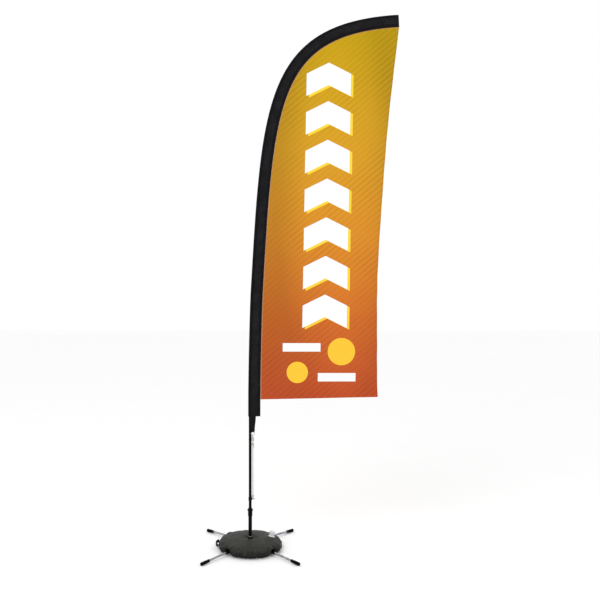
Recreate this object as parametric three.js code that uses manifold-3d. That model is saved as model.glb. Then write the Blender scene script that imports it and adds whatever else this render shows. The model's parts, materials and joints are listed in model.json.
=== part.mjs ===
// Feather flag on a bowed pole, standing on a folding cross base with a water bag.
// Millimetres, +Z up. The origin is on the floor, at the centre of the hub's underside.
// The flag flies towards +X, and its face looks along -Y and +Y.
import * as THREE from 'three';
import { mergeVertices } from 'three/addons/utils/BufferGeometryUtils.js';
import Module from 'manifold-3d';

const wasm = await Module();
wasm.setup();

// ---------------------------------------------------------------- driving dimensions

const GAP = 0.3; // between pieces that touch
const ROUND_SIDES = 16; // of a turned piece
const TUBE_SIDES = 12; // of a tube that follows the pole

// Base: four legs that hinge down from a hub.
const LEG_AZIMUTHS = { front_right: -45, rear_right: 45, rear_left: 135, front_left: -135 };
const PIVOT_RADIUS = 45;
const PIVOT_HEIGHT = 42;
const LEG_LENGTH = 452; // pivot to the end of the foot cap
const TONGUE_RADIUS = 9; // half the height of the flat end that the pin goes through
const TONGUE_THICKNESS = 10;
const SOCKET_START = 26; // along the leg, where the flat end becomes round
const SOCKET_END = 215;
const SOCKET_RADIUS = 10;
const LEG_TUBE_RADIUS = 8;
const LEG_TUBE_WALL = 1.2;
const LEG_TUBE_INSET = 60; // how far the tube goes into its socket
const FOOT_RADIUS = 12;
const FOOT_LENGTH = 77;
const FOOT_END_WALL = 6;
const PIN_RADIUS = 4;
const HUB_RADIUS = 30;
const HUB_HEIGHT = 66;
const CHEEK = 8; // thickness of a fork's side

// Spindle and the rotator that turns on it.
const SPINDLE_RADIUS = 8.5;
const SPINDLE_DEPTH = 30; // set into the hub
const SPINDLE_SHOULDER = 226; // height where the thread starts
const SPINDLE_TOP = 240;
const THREAD_RADIUS = 6;
const NUT_RADIUS = 10.2; // to its corners, and the washer's radius
const RING_RADIUS = 16.5; // silver ring under the rotator
const RING_BOTTOM = 84;
const RING_TOP = 91;
const ROTATOR_RADIUS = 14;
const ROTATOR_BORE = 10.6;
const BEARING_HEIGHT = 12;
const COLLAR_BOTTOM = 242;
const COLLAR_STEP = 268; // where the pole's foot stands
const COLLAR_TOP = 304;
const COLLAR_RADIUS = 17;
const FLANGE_RADIUS = 22;

// Pole: its axis is upright, then two Bezier stretches bow it over to a nearly level tip.
const POLE_FOOT = 270; // height where the spine starts
const BOW_START = new THREE.Vector3(0, 0, 1150);
const BOW_KNEE = new THREE.Vector3(20, 0, 1985);
const BOW_TIP = new THREE.Vector3(1140, 0, 4076);
const KNEE_HEADING = THREE.MathUtils.degToRad(3.3); // from upright, towards +X
const TIP_HEADING = THREE.MathUtils.degToRad(86.5);
const BOW_HANDLES = [150, 175, 1450, 1015]; // at the start, both sides of the knee, and the tip
const SECTIONS = [
  { outer: 11, bore: 9.7, from: 0, to: 1080, step: 120 },
  { outer: 9.2, bore: 7.9, from: 960, to: 2160, step: 120 },
  { outer: 7.4, bore: 6.1, from: 2040, to: 3300, step: 60 },
];
const TIP_ROD = { outer: 5.6, tipRadius: 4, from: 3180, to: 4380, step: 60 };
const FERRULE_WALL = 1.6;
const FERRULE_LENGTH = 60;

// Flag.
const SLEEVE_BOTTOM = 1008;
const SLEEVE_NOSE = 15.5; // the sleeve's outside radius round the pole
const SLEEVE_WIDTH = 94;
const SLEEVE_WALL = 1.2;
const SEAM_HALF_THICKNESS = 2.2;
const SLEEVE_END_CLOSURE = 6;
const PANEL_THICKNESS = 1.4;
const PANEL_START = 1138; // height where the panel's lower edge meets the sleeve
const PANEL_CORNER = new THREE.Vector2(982, 1155); // free lower corner, X and Z
const PANEL_EDGE_PULL = new THREE.Vector2(930, 2280); // the free edge is drawn in towards this
const PANEL_PEAK = new THREE.Vector2(1141, 3980);
const RIPPLE = 14; // how far the free edge swings out of the flag's plane
const RIPPLE_WAVES = 2.6;
const RIPPLE_SLANT = 1.5; // radians that the ripple runs ahead from the sleeve to the free edge

// Strap, ring and cord that hold the flag down.
const STRAP_SETBACK = 12.1; // from the pole's axis to the strap's middle
const STRAP_MIDDLE = 18;
const STRAP_TOP = 1084;
const STRAP_TOP_WIDTH = 48; // at the sleeve's lower edge
const STRAP_TAB_WIDTH = 34; // of the part sewn inside the sleeve
const STRAP_BOTTOM_WIDTH = 30;
const STRAP_THICKNESS = 1.4;
const RING_CENTRE_HEIGHT = 878;
const EYE_RADIUS = 13.5; // of the ring's wire, to its middle
const WIRE_RADIUS = 1.8;
const CORD_RADIUS = 3.5;
const HOOK_HEIGHT = 375;
const KNOT_BOTTOM = 775;

// Water bag.
const BAG_RADIUS = 245;
const BAG_HOLE_RADIUS = 22;
const BAG_TOP = 84;
const BAG_FLOOR = 2;
const FILLER_AZIMUTH = 15;
const FILLER_DISTANCE = 172; // from the pole's axis
const NECK_RADIUS = 15;
const NECK_BORE = 11.5;
const NECK_HEIGHT = 31;
const SHOULDER_RADIUS = 18; // of the neck's lower part, which shows under the cap
const SHOULDER_TOP = 12;
const NECK_FLANGE_RADIUS = 26;
const CAP_RADIUS = 21;
const CAP_HEIGHT = 38.5; // top of the closed cap above the bag

// ---------------------------------------------------------------- materials

const paint = (color, roughness, metalness = 0) => ({ color, roughness, metalness });
const BLACK_METAL = paint(0x111113, 0.45, 0.3);
const BLACK_PLASTIC = paint(0x0e0e10, 0.5);
const STEEL = paint(0xa8aaae, 0.35, 1);
const CHROME = paint(0xc8cacd, 0.15, 1);
const RUBBER = paint(0x0c0c0c, 0.85);
const BAG_CLOTH = paint(0x45453f, 0.7);
const WEBBING = paint(0x131314, 0.9);
const SLEEVE_CLOTH = paint(0x1b1b20, 0.85);
const PANEL_CLOTH = paint(0xd2871f, 0.8);
const CORD_CLOTH = paint(0xd6d6d2, 0.8);
const CAP_PLASTIC = paint(0xdfe2ea, 0.35);

const part = new THREE.Group();

function addPiece(name, geometry, finish, parent = part) {
  const mesh = new THREE.Mesh(geometry, new THREE.MeshStandardMaterial(finish));
  mesh.name = name;
  parent.add(mesh);
  return mesh;
}

// ---------------------------------------------------------------- geometry helpers

// Turns the faces round if they point into the solid.
function facingOut(geometry) {
  const merged = bareMesh(geometry);
  const { position } = merged.attributes;
  const [a, b, c] = [0, 1, 2].map(() => new THREE.Vector3());
  let volume = 0;
  for (let i = 0; i < merged.index.count; i += 3) {
    a.fromBufferAttribute(position, merged.index.getX(i));
    b.fromBufferAttribute(position, merged.index.getX(i + 1));
    c.fromBufferAttribute(position, merged.index.getX(i + 2));
    volume += a.dot(b.cross(c));
  }
  if (volume < 0) {
    merged.index.array.reverse();
  }
  merged.computeVertexNormals();
  return merged;
}

// Positions only, with shared corners.
function bareMesh(geometry) {
  const bare = geometry.clone();
  bare.deleteAttribute('normal');
  bare.deleteAttribute('uv');
  return mergeVertices(bare, 1e-3);
}

// A profile of [radius, height] points turned about Z. A ring's profile closes on itself.
function turned(profile, sides = ROUND_SIDES) {
  const points = profile.map(([radius, height]) => new THREE.Vector2(radius, height));
  const geometry = new THREE.LatheGeometry(points, sides);
  geometry.rotateX(Math.PI / 2);
  return facingOut(geometry);
}

function ring(inner, outer, bottom, top, sides = ROUND_SIDES) {
  return turned([[inner, bottom], [outer, bottom], [outer, top], [inner, top], [inner, bottom]], sides);
}

function disc(radius, bottom, top, sides = ROUND_SIDES) {
  return turned([[0, bottom], [radius, bottom], [radius, top], [0, top]], sides);
}

// An outline in X and Z, pulled out along Y by the thickness, half to each side.
function slab(shape, thickness, curveSegments = 6) {
  const options = { depth: thickness, bevelEnabled: false, curveSegments };
  const geometry = new THREE.ExtrudeGeometry(shape, options);
  geometry.translate(0, 0, -thickness / 2);
  geometry.rotateX(Math.PI / 2);
  return facingOut(geometry);
}

function solid(geometry) {
  const bare = bareMesh(geometry);
  return new wasm.Manifold(new wasm.Mesh({
    numProp: 3,
    vertProperties: bare.attributes.position.array,
    triVerts: new Uint32Array(bare.index.array),
  }));
}

// Joins the first list and cuts the second list away from it.
function carved(joined, cutAway = []) {
  let body = solid(joined[0]);
  for (const geometry of joined.slice(1)) {
    body = body.add(solid(geometry));
  }
  for (const geometry of cutAway) {
    body = body.subtract(solid(geometry));
  }
  const { vertProperties, triVerts } = body.getMesh();
  const geometry = new THREE.BufferGeometry();
  geometry.setAttribute('position', new THREE.BufferAttribute(vertProperties, 3));
  geometry.setIndex(new THREE.BufferAttribute(triVerts, 1));
  geometry.computeVertexNormals();
  return geometry;
}

// A closed skin over rings of points. Each ring has the same number of points. The ends are
// capped, or the last ring joins the first one, as round a torus.
function skinned(rings, joinsItself = false) {
  const around = rings[0].length;
  const positions = rings.flat().flatMap((p) => [p.x, p.y, p.z]);
  const index = [];
  const spans = joinsItself ? rings.length : rings.length - 1;
  for (let i = 0; i < spans; i += 1) {
    const low = i * around;
    const high = ((i + 1) % rings.length) * around;
    for (let j = 0; j < around; j += 1) {
      const next = (j + 1) % around;
      index.push(low + j, low + next, high + next, low + j, high + next, high + j);
    }
  }
  if (!joinsItself) {
    const flat = THREE.ShapeUtils.triangulateShape(rings[0].map((p) => p.plan), []);
    const top = (rings.length - 1) * around;
    for (const [a, b, c] of flat) {
      index.push(c, b, a, top + a, top + b, top + c);
    }
  }
  const geometry = new THREE.BufferGeometry();
  geometry.setAttribute('position', new THREE.Float32BufferAttribute(positions, 3));
  geometry.setIndex(index);
  return facingOut(geometry);
}

const smoothstep = (x, low, high) => THREE.MathUtils.smoothstep(x, low, high);

// ---------------------------------------------------------------- the pole's bowed axis

function heading(angle) {
  return new THREE.Vector3(Math.sin(angle), 0, Math.cos(angle));
}

function makeSpine() {
  const [fromStart, toKnee, fromKnee, toTip] = BOW_HANDLES;
  const up = heading(0);
  const kneeWay = heading(KNEE_HEADING);
  const tipWay = heading(TIP_HEADING);
  const path = new THREE.CurvePath();
  path.add(new THREE.LineCurve3(new THREE.Vector3(0, 0, POLE_FOOT), BOW_START));
  path.add(new THREE.CubicBezierCurve3(
    BOW_START,
    BOW_START.clone().addScaledVector(up, fromStart),
    BOW_KNEE.clone().addScaledVector(kneeWay, -toKnee),
    BOW_KNEE,
  ));
  path.add(new THREE.CubicBezierCurve3(
    BOW_KNEE,
    BOW_KNEE.clone().addScaledVector(kneeWay, fromKnee),
    BOW_TIP.clone().addScaledVector(tipWay, -toTip),
    BOW_TIP,
  ));
  return path;
}

const spine = makeSpine();
const SPINE_LENGTH = spine.getLength();

// The point of the spine at a distance along it from the pole's foot, the direction there, and
// the direction across, towards the flag.
function along(distance) {
  const t = THREE.MathUtils.clamp(distance / SPINE_LENGTH, 0, 1);
  const point = spine.getPoint(t);
  const tangent = spine.getPoint(Math.min(t + 1e-4, 1)).sub(spine.getPoint(Math.max(t - 1e-4, 0)));
  tangent.normalize();
  const across = new THREE.Vector3(tangent.z, 0, -tangent.x);
  return { point, tangent, across };
}

// The spine between two distances, as a path for an extrusion.
class SpineStretch extends THREE.Curve {
  constructor(from, to) {
    super();
    this.from = from;
    this.to = to;
  }

  getPoint(t) {
    return along(THREE.MathUtils.lerp(this.from, this.to, t)).point;
  }
}

function circleShape(radius, sides) {
  const corners = Array.from({ length: sides }, (_, i) => {
    const angle = (i / sides) * 2 * Math.PI;
    return new THREE.Vector2(radius * Math.cos(angle), radius * Math.sin(angle));
  });
  return new THREE.Shape(corners);
}

function tubeAlong(path, outer, bore, steps, sides = TUBE_SIDES) {
  const shape = circleShape(outer, sides);
  if (bore > 0) {
    shape.holes.push(circleShape(bore, sides));
  }
  return facingOut(new THREE.ExtrudeGeometry(shape, { extrudePath: path, steps, bevelEnabled: false }));
}

// ---------------------------------------------------------------- base

// The leg slopes down from its pivot so that the foot cap's lower edge meets the floor.
const LEG_SLOPE = Math.asin(PIVOT_HEIGHT / Math.hypot(LEG_LENGTH, FOOT_RADIUS))
  - Math.atan(FOOT_RADIUS / LEG_LENGTH);
const FORK_GAP = TONGUE_THICKNESS + 2 * GAP;
const FORK_WIDTH = FORK_GAP + 2 * CHEEK;
const EYE_OUTSIDE = 14; // radius of the fork's rounded end

// A round bar along Y, which cuts a pin hole.
function crossBar(radius, length, x = 0, z = 0) {
  const bar = new THREE.CylinderGeometry(radius, radius, length, ROUND_SIDES);
  bar.translate(x, 0, z);
  return facingOut(bar);
}

function forkBlank() {
  const root = HUB_RADIUS - 20; // deep inside the boss
  const shape = new THREE.Shape();
  shape.moveTo(root, PIVOT_HEIGHT - EYE_OUTSIDE);
  shape.lineTo(PIVOT_RADIUS, PIVOT_HEIGHT - EYE_OUTSIDE);
  shape.absarc(PIVOT_RADIUS, PIVOT_HEIGHT, EYE_OUTSIDE, -Math.PI / 2, Math.PI / 2, false);
  shape.lineTo(root, PIVOT_HEIGHT + EYE_OUTSIDE);
  return slab(shape, FORK_WIDTH);
}

function makeHub() {
  const boss = turned([[0, 0], [HUB_RADIUS - 1, 0], [HUB_RADIUS, 1], [HUB_RADIUS, HUB_HEIGHT - 3],
    [HUB_RADIUS - 3, HUB_HEIGHT], [0, HUB_HEIGHT]], 24);
  const joined = [boss];
  const cutAway = [];
  const slotRoof = PIVOT_HEIGHT + TONGUE_RADIUS + GAP;
  const slotInside = PIVOT_RADIUS - TONGUE_RADIUS - 1;
  const slotLength = 40; // runs out past the fork's rounded end
  for (const azimuth of Object.values(LEG_AZIMUTHS)) {
    const slot = new THREE.BoxGeometry(slotLength, FORK_GAP, slotRoof);
    slot.translate(slotInside + slotLength / 2, 0, slotRoof / 2);
    const hole = crossBar(PIN_RADIUS + GAP, FORK_WIDTH + 2, PIVOT_RADIUS, PIVOT_HEIGHT);
    const turn = THREE.MathUtils.degToRad(azimuth);
    joined.push(forkBlank().rotateZ(turn));
    cutAway.push(slot.rotateZ(turn), hole.rotateZ(turn));
  }
  cutAway.push(disc(SPINDLE_RADIUS + GAP, HUB_HEIGHT - SPINDLE_DEPTH, HUB_HEIGHT + 1));
  addPiece('hub_body', carved(joined, cutAway), BLACK_METAL);
}

function makeLegSocket() {
  const flatEnd = SOCKET_START + 8;
  const flat = new THREE.Shape();
  flat.absarc(0, 0, TONGUE_RADIUS, Math.PI / 2, (3 * Math.PI) / 2, false);
  flat.lineTo(flatEnd, -TONGUE_RADIUS);
  flat.lineTo(flatEnd, TONGUE_RADIUS);
  const bore = LEG_TUBE_RADIUS + GAP;
  const boreStart = SOCKET_START + 16;
  const round = turned([[0, SOCKET_START], [SOCKET_RADIUS - 2, SOCKET_START],
    [SOCKET_RADIUS, SOCKET_START + 2], [SOCKET_RADIUS, SOCKET_END - 1],
    [SOCKET_RADIUS - 1, SOCKET_END], [bore, SOCKET_END], [bore, boreStart], [0, boreStart]]);
  const hole = crossBar(PIN_RADIUS + GAP, TONGUE_THICKNESS + 2);
  return carved([slab(flat, TONGUE_THICKNESS), round.rotateY(Math.PI / 2)], [hole]);
}

function makeLegTube() {
  const inner = LEG_TUBE_RADIUS - LEG_TUBE_WALL;
  const start = SOCKET_END - LEG_TUBE_INSET;
  const end = LEG_LENGTH - FOOT_END_WALL - GAP;
  return ring(inner, LEG_TUBE_RADIUS, start, end).rotateY(Math.PI / 2);
}

function makeFootCap() {
  const bore = LEG_TUBE_RADIUS + GAP;
  const start = LEG_LENGTH - FOOT_LENGTH;
  return turned([[bore, start], [FOOT_RADIUS - 1.5, start], [FOOT_RADIUS, start + 1.5],
    [FOOT_RADIUS, LEG_LENGTH], [0, LEG_LENGTH], [0, LEG_LENGTH - FOOT_END_WALL],
    [bore, LEG_LENGTH - FOOT_END_WALL], [bore, start]]).rotateY(Math.PI / 2);
}

function makePin() {
  const reach = FORK_WIDTH / 2 + GAP;
  const headRadius = PIN_RADIUS + 2.5;
  const end = reach + 2.5;
  return turned([[0, -end], [headRadius, -end], [headRadius, -reach], [PIN_RADIUS, -reach],
    [PIN_RADIUS, reach], [headRadius, reach], [headRadius, end], [0, end]], 12).rotateX(Math.PI / 2);
}

function makeLegs() {
  for (const [place, azimuth] of Object.entries(LEG_AZIMUTHS)) {
    const corner = new THREE.Group();
    corner.rotation.z = THREE.MathUtils.degToRad(azimuth);
    part.add(corner);
    const pivot = new THREE.Group();
    pivot.position.set(PIVOT_RADIUS, 0, PIVOT_HEIGHT);
    corner.add(pivot);
    addPiece(`leg_pin_${place}`, makePin(), STEEL, pivot);
    const leg = new THREE.Group();
    leg.rotation.y = LEG_SLOPE;
    pivot.add(leg);
    addPiece(`leg_socket_${place}`, makeLegSocket(), BLACK_METAL, leg);
    addPiece(`leg_tube_${place}`, makeLegTube(), CHROME, leg);
    addPiece(`foot_cap_${place}`, makeFootCap(), RUBBER, leg);
  }
}

// ---------------------------------------------------------------- spindle and rotator

function makeSpindle() {
  const foot = HUB_HEIGHT - SPINDLE_DEPTH + GAP;
  addPiece('spindle', turned([[0, foot], [SPINDLE_RADIUS, foot], [SPINDLE_RADIUS, SPINDLE_SHOULDER],
    [THREAD_RADIUS, SPINDLE_SHOULDER], [THREAD_RADIUS, SPINDLE_TOP - 1],
    [THREAD_RADIUS - 1, SPINDLE_TOP], [0, SPINDLE_TOP]]), STEEL);
  const bore = SPINDLE_RADIUS + GAP;
  const neck = 14;
  const collarFoot = HUB_HEIGHT + GAP;
  addPiece('spindle_collar', turned([[bore, collarFoot], [neck, collarFoot], [neck, RING_BOTTOM],
    [RING_RADIUS - 1, RING_BOTTOM], [RING_RADIUS, RING_BOTTOM + 1], [RING_RADIUS, RING_TOP - 1.5],
    [RING_RADIUS - 1.5, RING_TOP], [bore, RING_TOP], [bore, collarFoot]]), CHROME);
  const washerBottom = SPINDLE_SHOULDER + GAP;
  const washerTop = washerBottom + 2;
  const nutTop = washerTop + 9;
  const threadHole = THREAD_RADIUS + GAP;
  const nut = disc(NUT_RADIUS, washerTop + GAP, nutTop, 6);
  addPiece('spindle_washer', ring(threadHole, NUT_RADIUS, washerBottom, washerTop), STEEL);
  addPiece('spindle_nut', carved([nut], [disc(threadHole, washerTop, nutTop + 1)]), STEEL);
}

function makeRotator() {
  const tubeBottom = RING_TOP + 0.5;
  const tube = ring(ROTATOR_BORE, ROTATOR_RADIUS, tubeBottom, COLLAR_STEP - GAP);
  addPiece('rotator_tube', tube, BLACK_METAL);
  const aroundTube = ROTATOR_RADIUS + GAP;
  const aroundPole = SECTIONS[0].outer + 0.4;
  const rimRadius = 15;
  addPiece('rotator_collar', turned([[aroundTube, COLLAR_BOTTOM], [COLLAR_RADIUS - 1, COLLAR_BOTTOM],
    [COLLAR_RADIUS, COLLAR_BOTTOM + 2], [COLLAR_RADIUS, COLLAR_TOP - 25],
    [FLANGE_RADIUS, COLLAR_TOP - 14], [FLANGE_RADIUS, COLLAR_TOP - 11],
    [rimRadius, COLLAR_TOP - 3], [rimRadius, COLLAR_TOP], [aroundPole, COLLAR_TOP],
    [aroundPole, COLLAR_STEP], [aroundTube, COLLAR_STEP], [aroundTube, COLLAR_BOTTOM]]), BLACK_PLASTIC);
  const race = [SPINDLE_RADIUS + GAP, ROTATOR_BORE - GAP];
  const lowerSeat = tubeBottom + 1;
  const upperSeat = SPINDLE_SHOULDER - GAP - BEARING_HEIGHT;
  addPiece('lower_bearing', ring(...race, lowerSeat, lowerSeat + BEARING_HEIGHT), STEEL);
  addPiece('upper_bearing', ring(...race, upperSeat, upperSeat + BEARING_HEIGHT), STEEL);
}

// ---------------------------------------------------------------- pole

function makePole() {
  SECTIONS.forEach(({ outer, bore, from, to, step }, i) => {
    const tube = tubeAlong(new SpineStretch(i ? from : GAP, to), outer, bore, (to - from) / step);
    addPiece(`pole_section_${i + 1}`, tube, BLACK_METAL);
    const mouth = new SpineStretch(to - FERRULE_LENGTH, to);
    const ferrule = tubeAlong(mouth, outer + GAP + FERRULE_WALL, outer + GAP, 1);
    addPiece(`pole_ferrule_${i + 1}`, ferrule, STEEL);
  });
  const { outer, bore } = SECTIONS[0];
  const stem = bore - 0.5;
  const stemTop = POLE_FOOT + 40;
  addPiece('pole_foot_plug', turned([[0, COLLAR_STEP], [outer, COLLAR_STEP], [outer, POLE_FOOT],
    [stem, POLE_FOOT], [stem, stemTop], [0, stemTop]]), BLACK_PLASTIC);
}

// The thin top section is a solid rod that tapers to its tip.
function makeTipRod() {
  const { outer, tipRadius, from, to, step } = TIP_ROD;
  const sides = 10;
  const rings = [];
  for (let distance = from; distance <= to; distance += step) {
    const { point, across } = along(distance);
    const radius = THREE.MathUtils.mapLinear(distance, from, to, outer, tipRadius);
    rings.push(Array.from({ length: sides }, (_, i) => {
      const angle = (i / sides) * 2 * Math.PI;
      const place = point.clone().addScaledVector(across, radius * Math.cos(angle));
      place.y += radius * Math.sin(angle);
      place.plan = new THREE.Vector2(Math.cos(angle), Math.sin(angle));
      return place;
    }));
  }
  addPiece('pole_tip_rod', skinned(rings), BLACK_METAL);
  const { point, tangent } = along(to);
  const bore = tipRadius + 0.6;
  const capBottom = -16; // from the rod's end
  const cap = addPiece('pole_tip_cap', turned([[bore, capBottom], [7, capBottom], [8, capBottom + 4],
    [8, 2], [5, 6], [0, 7], [0, GAP], [bore, GAP], [bore, capBottom]]), RUBBER);
  cap.position.copy(point);
  cap.quaternion.setFromUnitVectors(new THREE.Vector3(0, 0, 1), tangent);
}

// ---------------------------------------------------------------- flag

// The sleeve's cross-section: a round nose about the pole that closes to the sewn seam. Points
// are [across, out of the flag's plane].
function sleeveSection(nose, reach, seamHalf) {
  const arcPoints = 7;
  const loop = [];
  for (let i = 0; i < arcPoints; i += 1) {
    const angle = Math.PI / 2 + (i / (arcPoints - 1)) * Math.PI;
    loop.push([nose * Math.cos(angle), nose * Math.sin(angle)]);
  }
  const flanks = [0.35, 0.7, 1].map((t) => [reach * t, THREE.MathUtils.lerp(nose, seamHalf, t)]);
  loop.push(...flanks.map(([x, y]) => [x, -y]));
  loop.push(...flanks.reverse());
  return loop;
}

function sectionRing(section, distance) {
  const { point, across } = along(distance);
  return section.map(([x, y]) => {
    const place = point.clone().addScaledVector(across, x);
    place.y = y;
    return place;
  });
}

function distances(from, to, count) {
  return Array.from({ length: count + 1 }, (_, i) => THREE.MathUtils.lerp(from, to, i / count));
}

const SEAM_REACH = SLEEVE_WIDTH - SLEEVE_NOSE;
const SLEEVE_FROM = SLEEVE_BOTTOM - POLE_FOOT;
const PANEL_FROM = PANEL_START - POLE_FOOT;
const BOW_FROM = 2400; // distance along the spine where the bow gets tight

// The sleeve and the panel share these places along the spine, so that their seam fits.
const PANEL_STATIONS = [
  ...distances(PANEL_FROM, BOW_FROM, 7),
  ...distances(BOW_FROM, SPINE_LENGTH, 32).slice(1),
];

function makeSleeve() {
  const seamMargin = 4.5; // sewn flat between the pocket and the panel
  const outer = sleeveSection(SLEEVE_NOSE, SEAM_REACH, SEAM_HALF_THICKNESS);
  const inner = sleeveSection(
    SLEEVE_NOSE - SLEEVE_WALL,
    SEAM_REACH - seamMargin,
    SEAM_HALF_THICKNESS - SLEEVE_WALL,
  );
  const outside = [SLEEVE_FROM, ...PANEL_STATIONS];
  const inside = [...outside.slice(0, -1), SPINE_LENGTH - SLEEVE_END_CLOSURE];
  const rings = [
    ...inside.reverse().map((distance) => sectionRing(inner, distance)),
    ...outside.map((distance) => sectionRing(outer, distance)),
  ];
  addPiece('pole_sleeve', capped(rings, inner, outer), SLEEVE_CLOTH);
}

// Rings from the cavity's closed end down to the mouth and up the outside, with both ends flat.
function capped(rings, firstPlan, lastPlan) {
  rings[0].forEach((p, i) => {
    p.plan = new THREE.Vector2(...firstPlan[i]);
  });
  rings.at(-1).forEach((p, i) => {
    p.plan = new THREE.Vector2(...lastPlan[i]);
  });
  return skinned(rings);
}

// The panel's point for a share across (0 at the sleeve, 1 at the free edge) and a distance up
// the spine.
const panelEdge = new THREE.QuadraticBezierCurve(PANEL_CORNER, PANEL_EDGE_PULL, PANEL_PEAK);

function panelPoint(acrossShare, distance) {
  const upShare = (distance - PANEL_FROM) / (SPINE_LENGTH - PANEL_FROM);
  const { point, across } = along(distance);
  const seam = point.clone().addScaledVector(across, SEAM_REACH + GAP);
  const free = panelEdge.getPoint(upShare);
  const swing = RIPPLE * acrossShare * Math.sqrt(Math.max(1 - upShare, 0));
  const phase = 2 * Math.PI * RIPPLE_WAVES * upShare + RIPPLE_SLANT * acrossShare;
  return new THREE.Vector3(
    THREE.MathUtils.lerp(seam.x, free.x, acrossShare),
    swing * Math.sin(phase),
    THREE.MathUtils.lerp(seam.z, free.y, acrossShare),
  );
}

function makePanel() {
  const columns = 8;
  const rings = PANEL_STATIONS.map((distance) => {
    const front = distances(0, 1, columns).map((share) => panelPoint(share, distance));
    const back = front.map((p) => p.clone()).reverse();
    front.forEach((p, i) => {
      p.y -= PANEL_THICKNESS / 2;
      p.plan = new THREE.Vector2(i, 0);
    });
    back.forEach((p, i) => {
      p.y += PANEL_THICKNESS / 2;
      p.plan = new THREE.Vector2(columns - i, 1);
    });
    return [...front, ...back];
  });
  addPiece('flag_panel', skinned(rings), PANEL_CLOTH);
}

// ---------------------------------------------------------------- strap, ring and cord

const FLANK_TURN = Math.atan2(SLEEVE_NOSE - SEAM_HALF_THICKNESS, SEAM_REACH);
const EYE_SETBACK = STRAP_SETBACK + 2.6; // the ring hangs a little in front of the strap

function wireRing(wire) {
  const sides = 8;
  const profile = Array.from({ length: sides + 1 }, (_, i) => {
    const angle = (i / sides) * 2 * Math.PI;
    return [EYE_RADIUS + wire * Math.cos(angle), wire * Math.sin(angle)];
  });
  const geometry = turned(profile, 24).rotateX(Math.PI / 2);
  return geometry.translate(STRAP_MIDDLE, -EYE_SETBACK, RING_CENTRE_HEIGHT);
}

function makeStrap(holder) {
  const loopBottom = RING_CENTRE_HEIGHT + EYE_RADIUS - 5;
  const loopHeight = 10;
  const loopDepth = 6.8;
  const tape = new THREE.Shape();
  const bottomHalf = STRAP_BOTTOM_WIDTH / 2;
  const topHalf = STRAP_TOP_WIDTH / 2;
  const tabHalf = STRAP_TAB_WIDTH / 2;
  const hem = SLEEVE_BOTTOM - GAP;
  tape.moveTo(STRAP_MIDDLE - bottomHalf, loopBottom);
  tape.lineTo(STRAP_MIDDLE + bottomHalf, loopBottom);
  tape.lineTo(STRAP_MIDDLE + topHalf, hem);
  tape.lineTo(STRAP_MIDDLE + tabHalf, hem);
  tape.lineTo(STRAP_MIDDLE + tabHalf, STRAP_TOP);
  tape.lineTo(STRAP_MIDDLE - tabHalf, STRAP_TOP);
  tape.lineTo(STRAP_MIDDLE - tabHalf, hem);
  tape.lineTo(STRAP_MIDDLE - topHalf, hem);
  const flat = slab(tape, STRAP_THICKNESS).translate(0, -STRAP_SETBACK, 0);
  const loop = new THREE.BoxGeometry(STRAP_BOTTOM_WIDTH, loopDepth, loopHeight);
  const loopMiddle = -STRAP_SETBACK + STRAP_THICKNESS / 2 - loopDepth / 2;
  loop.translate(STRAP_MIDDLE, loopMiddle, loopBottom + loopHeight / 2);
  const wireRoom = wireRing(WIRE_RADIUS + GAP + 0.1);
  addPiece('tension_strap', carved([flat, loop], [wireRoom]), WEBBING, holder);
}

function makeHook() {
  const inner = SECTIONS[0].outer + GAP;
  const bandHalf = 12;
  const pegRadius = 2.6;
  const pegLength = 20;
  const headRadius = 4.6;
  const headLength = 3;
  const band = ring(inner, inner + 2.6, HOOK_HEIGHT - bandHalf, HOOK_HEIGHT + bandHalf);
  const peg = new THREE.CylinderGeometry(pegRadius, pegRadius, pegLength, 12);
  peg.rotateZ(Math.PI / 2).translate(inner + 1 + pegLength / 2, 0, HOOK_HEIGHT);
  const head = new THREE.CylinderGeometry(headRadius, headRadius, headLength, 12);
  head.rotateZ(Math.PI / 2).translate(inner + 1 + pegLength, 0, HOOK_HEIGHT);
  addPiece('cord_hook', carved([band, peg, head]), BLACK_PLASTIC);
}

function makeCord(holder) {
  holder.updateWorldMatrix(true, true);
  const knotPlace = new THREE.Vector3(STRAP_MIDDLE, -EYE_SETBACK, 0).applyMatrix4(holder.matrixWorld);
  const knotTop = RING_CENTRE_HEIGHT - EYE_RADIUS - WIRE_RADIUS - GAP;
  const upper = turned([[0, KNOT_BOTTOM], [5, KNOT_BOTTOM], [7.5, KNOT_BOTTOM + 8],
    [6.5, KNOT_BOTTOM + 30], [6.5, knotTop - 22], [8.5, knotTop - 14], [8, knotTop - 5],
    [5, knotTop], [0, knotTop]], TUBE_SIDES);
  addPiece('cord_knot_upper', upper.translate(knotPlace.x, knotPlace.y, 0), CORD_CLOTH);
  const lowerRadius = 9;
  const lowerEye = 3;
  const lowerX = SECTIONS[0].outer + 10;
  const lower = turned([[lowerEye, -4], [7, -4], [lowerRadius, -2], [lowerRadius, 2], [7, 4],
    [lowerEye, 4], [lowerEye, -4]], TUBE_SIDES);
  lower.rotateY(Math.PI / 2).translate(lowerX, 0, HOOK_HEIGHT);
  addPiece('cord_knot_lower', lower, CORD_CLOTH);
  const route = new THREE.LineCurve3(
    new THREE.Vector3(knotPlace.x, knotPlace.y, KNOT_BOTTOM - GAP),
    new THREE.Vector3(lowerX, 0, HOOK_HEIGHT + lowerRadius + 1),
  );
  addPiece('tension_cord', tubeAlong(route, CORD_RADIUS, 0, 20, 8), CORD_CLOTH);
}

function makeRigging() {
  const holder = new THREE.Group();
  holder.rotation.z = FLANK_TURN;
  part.add(holder);
  makeStrap(holder);
  addPiece('strap_ring', wireRing(WIRE_RADIUS), STEEL, holder);
  makeHook();
  makeCord(holder);
}

// ---------------------------------------------------------------- water bag

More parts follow.
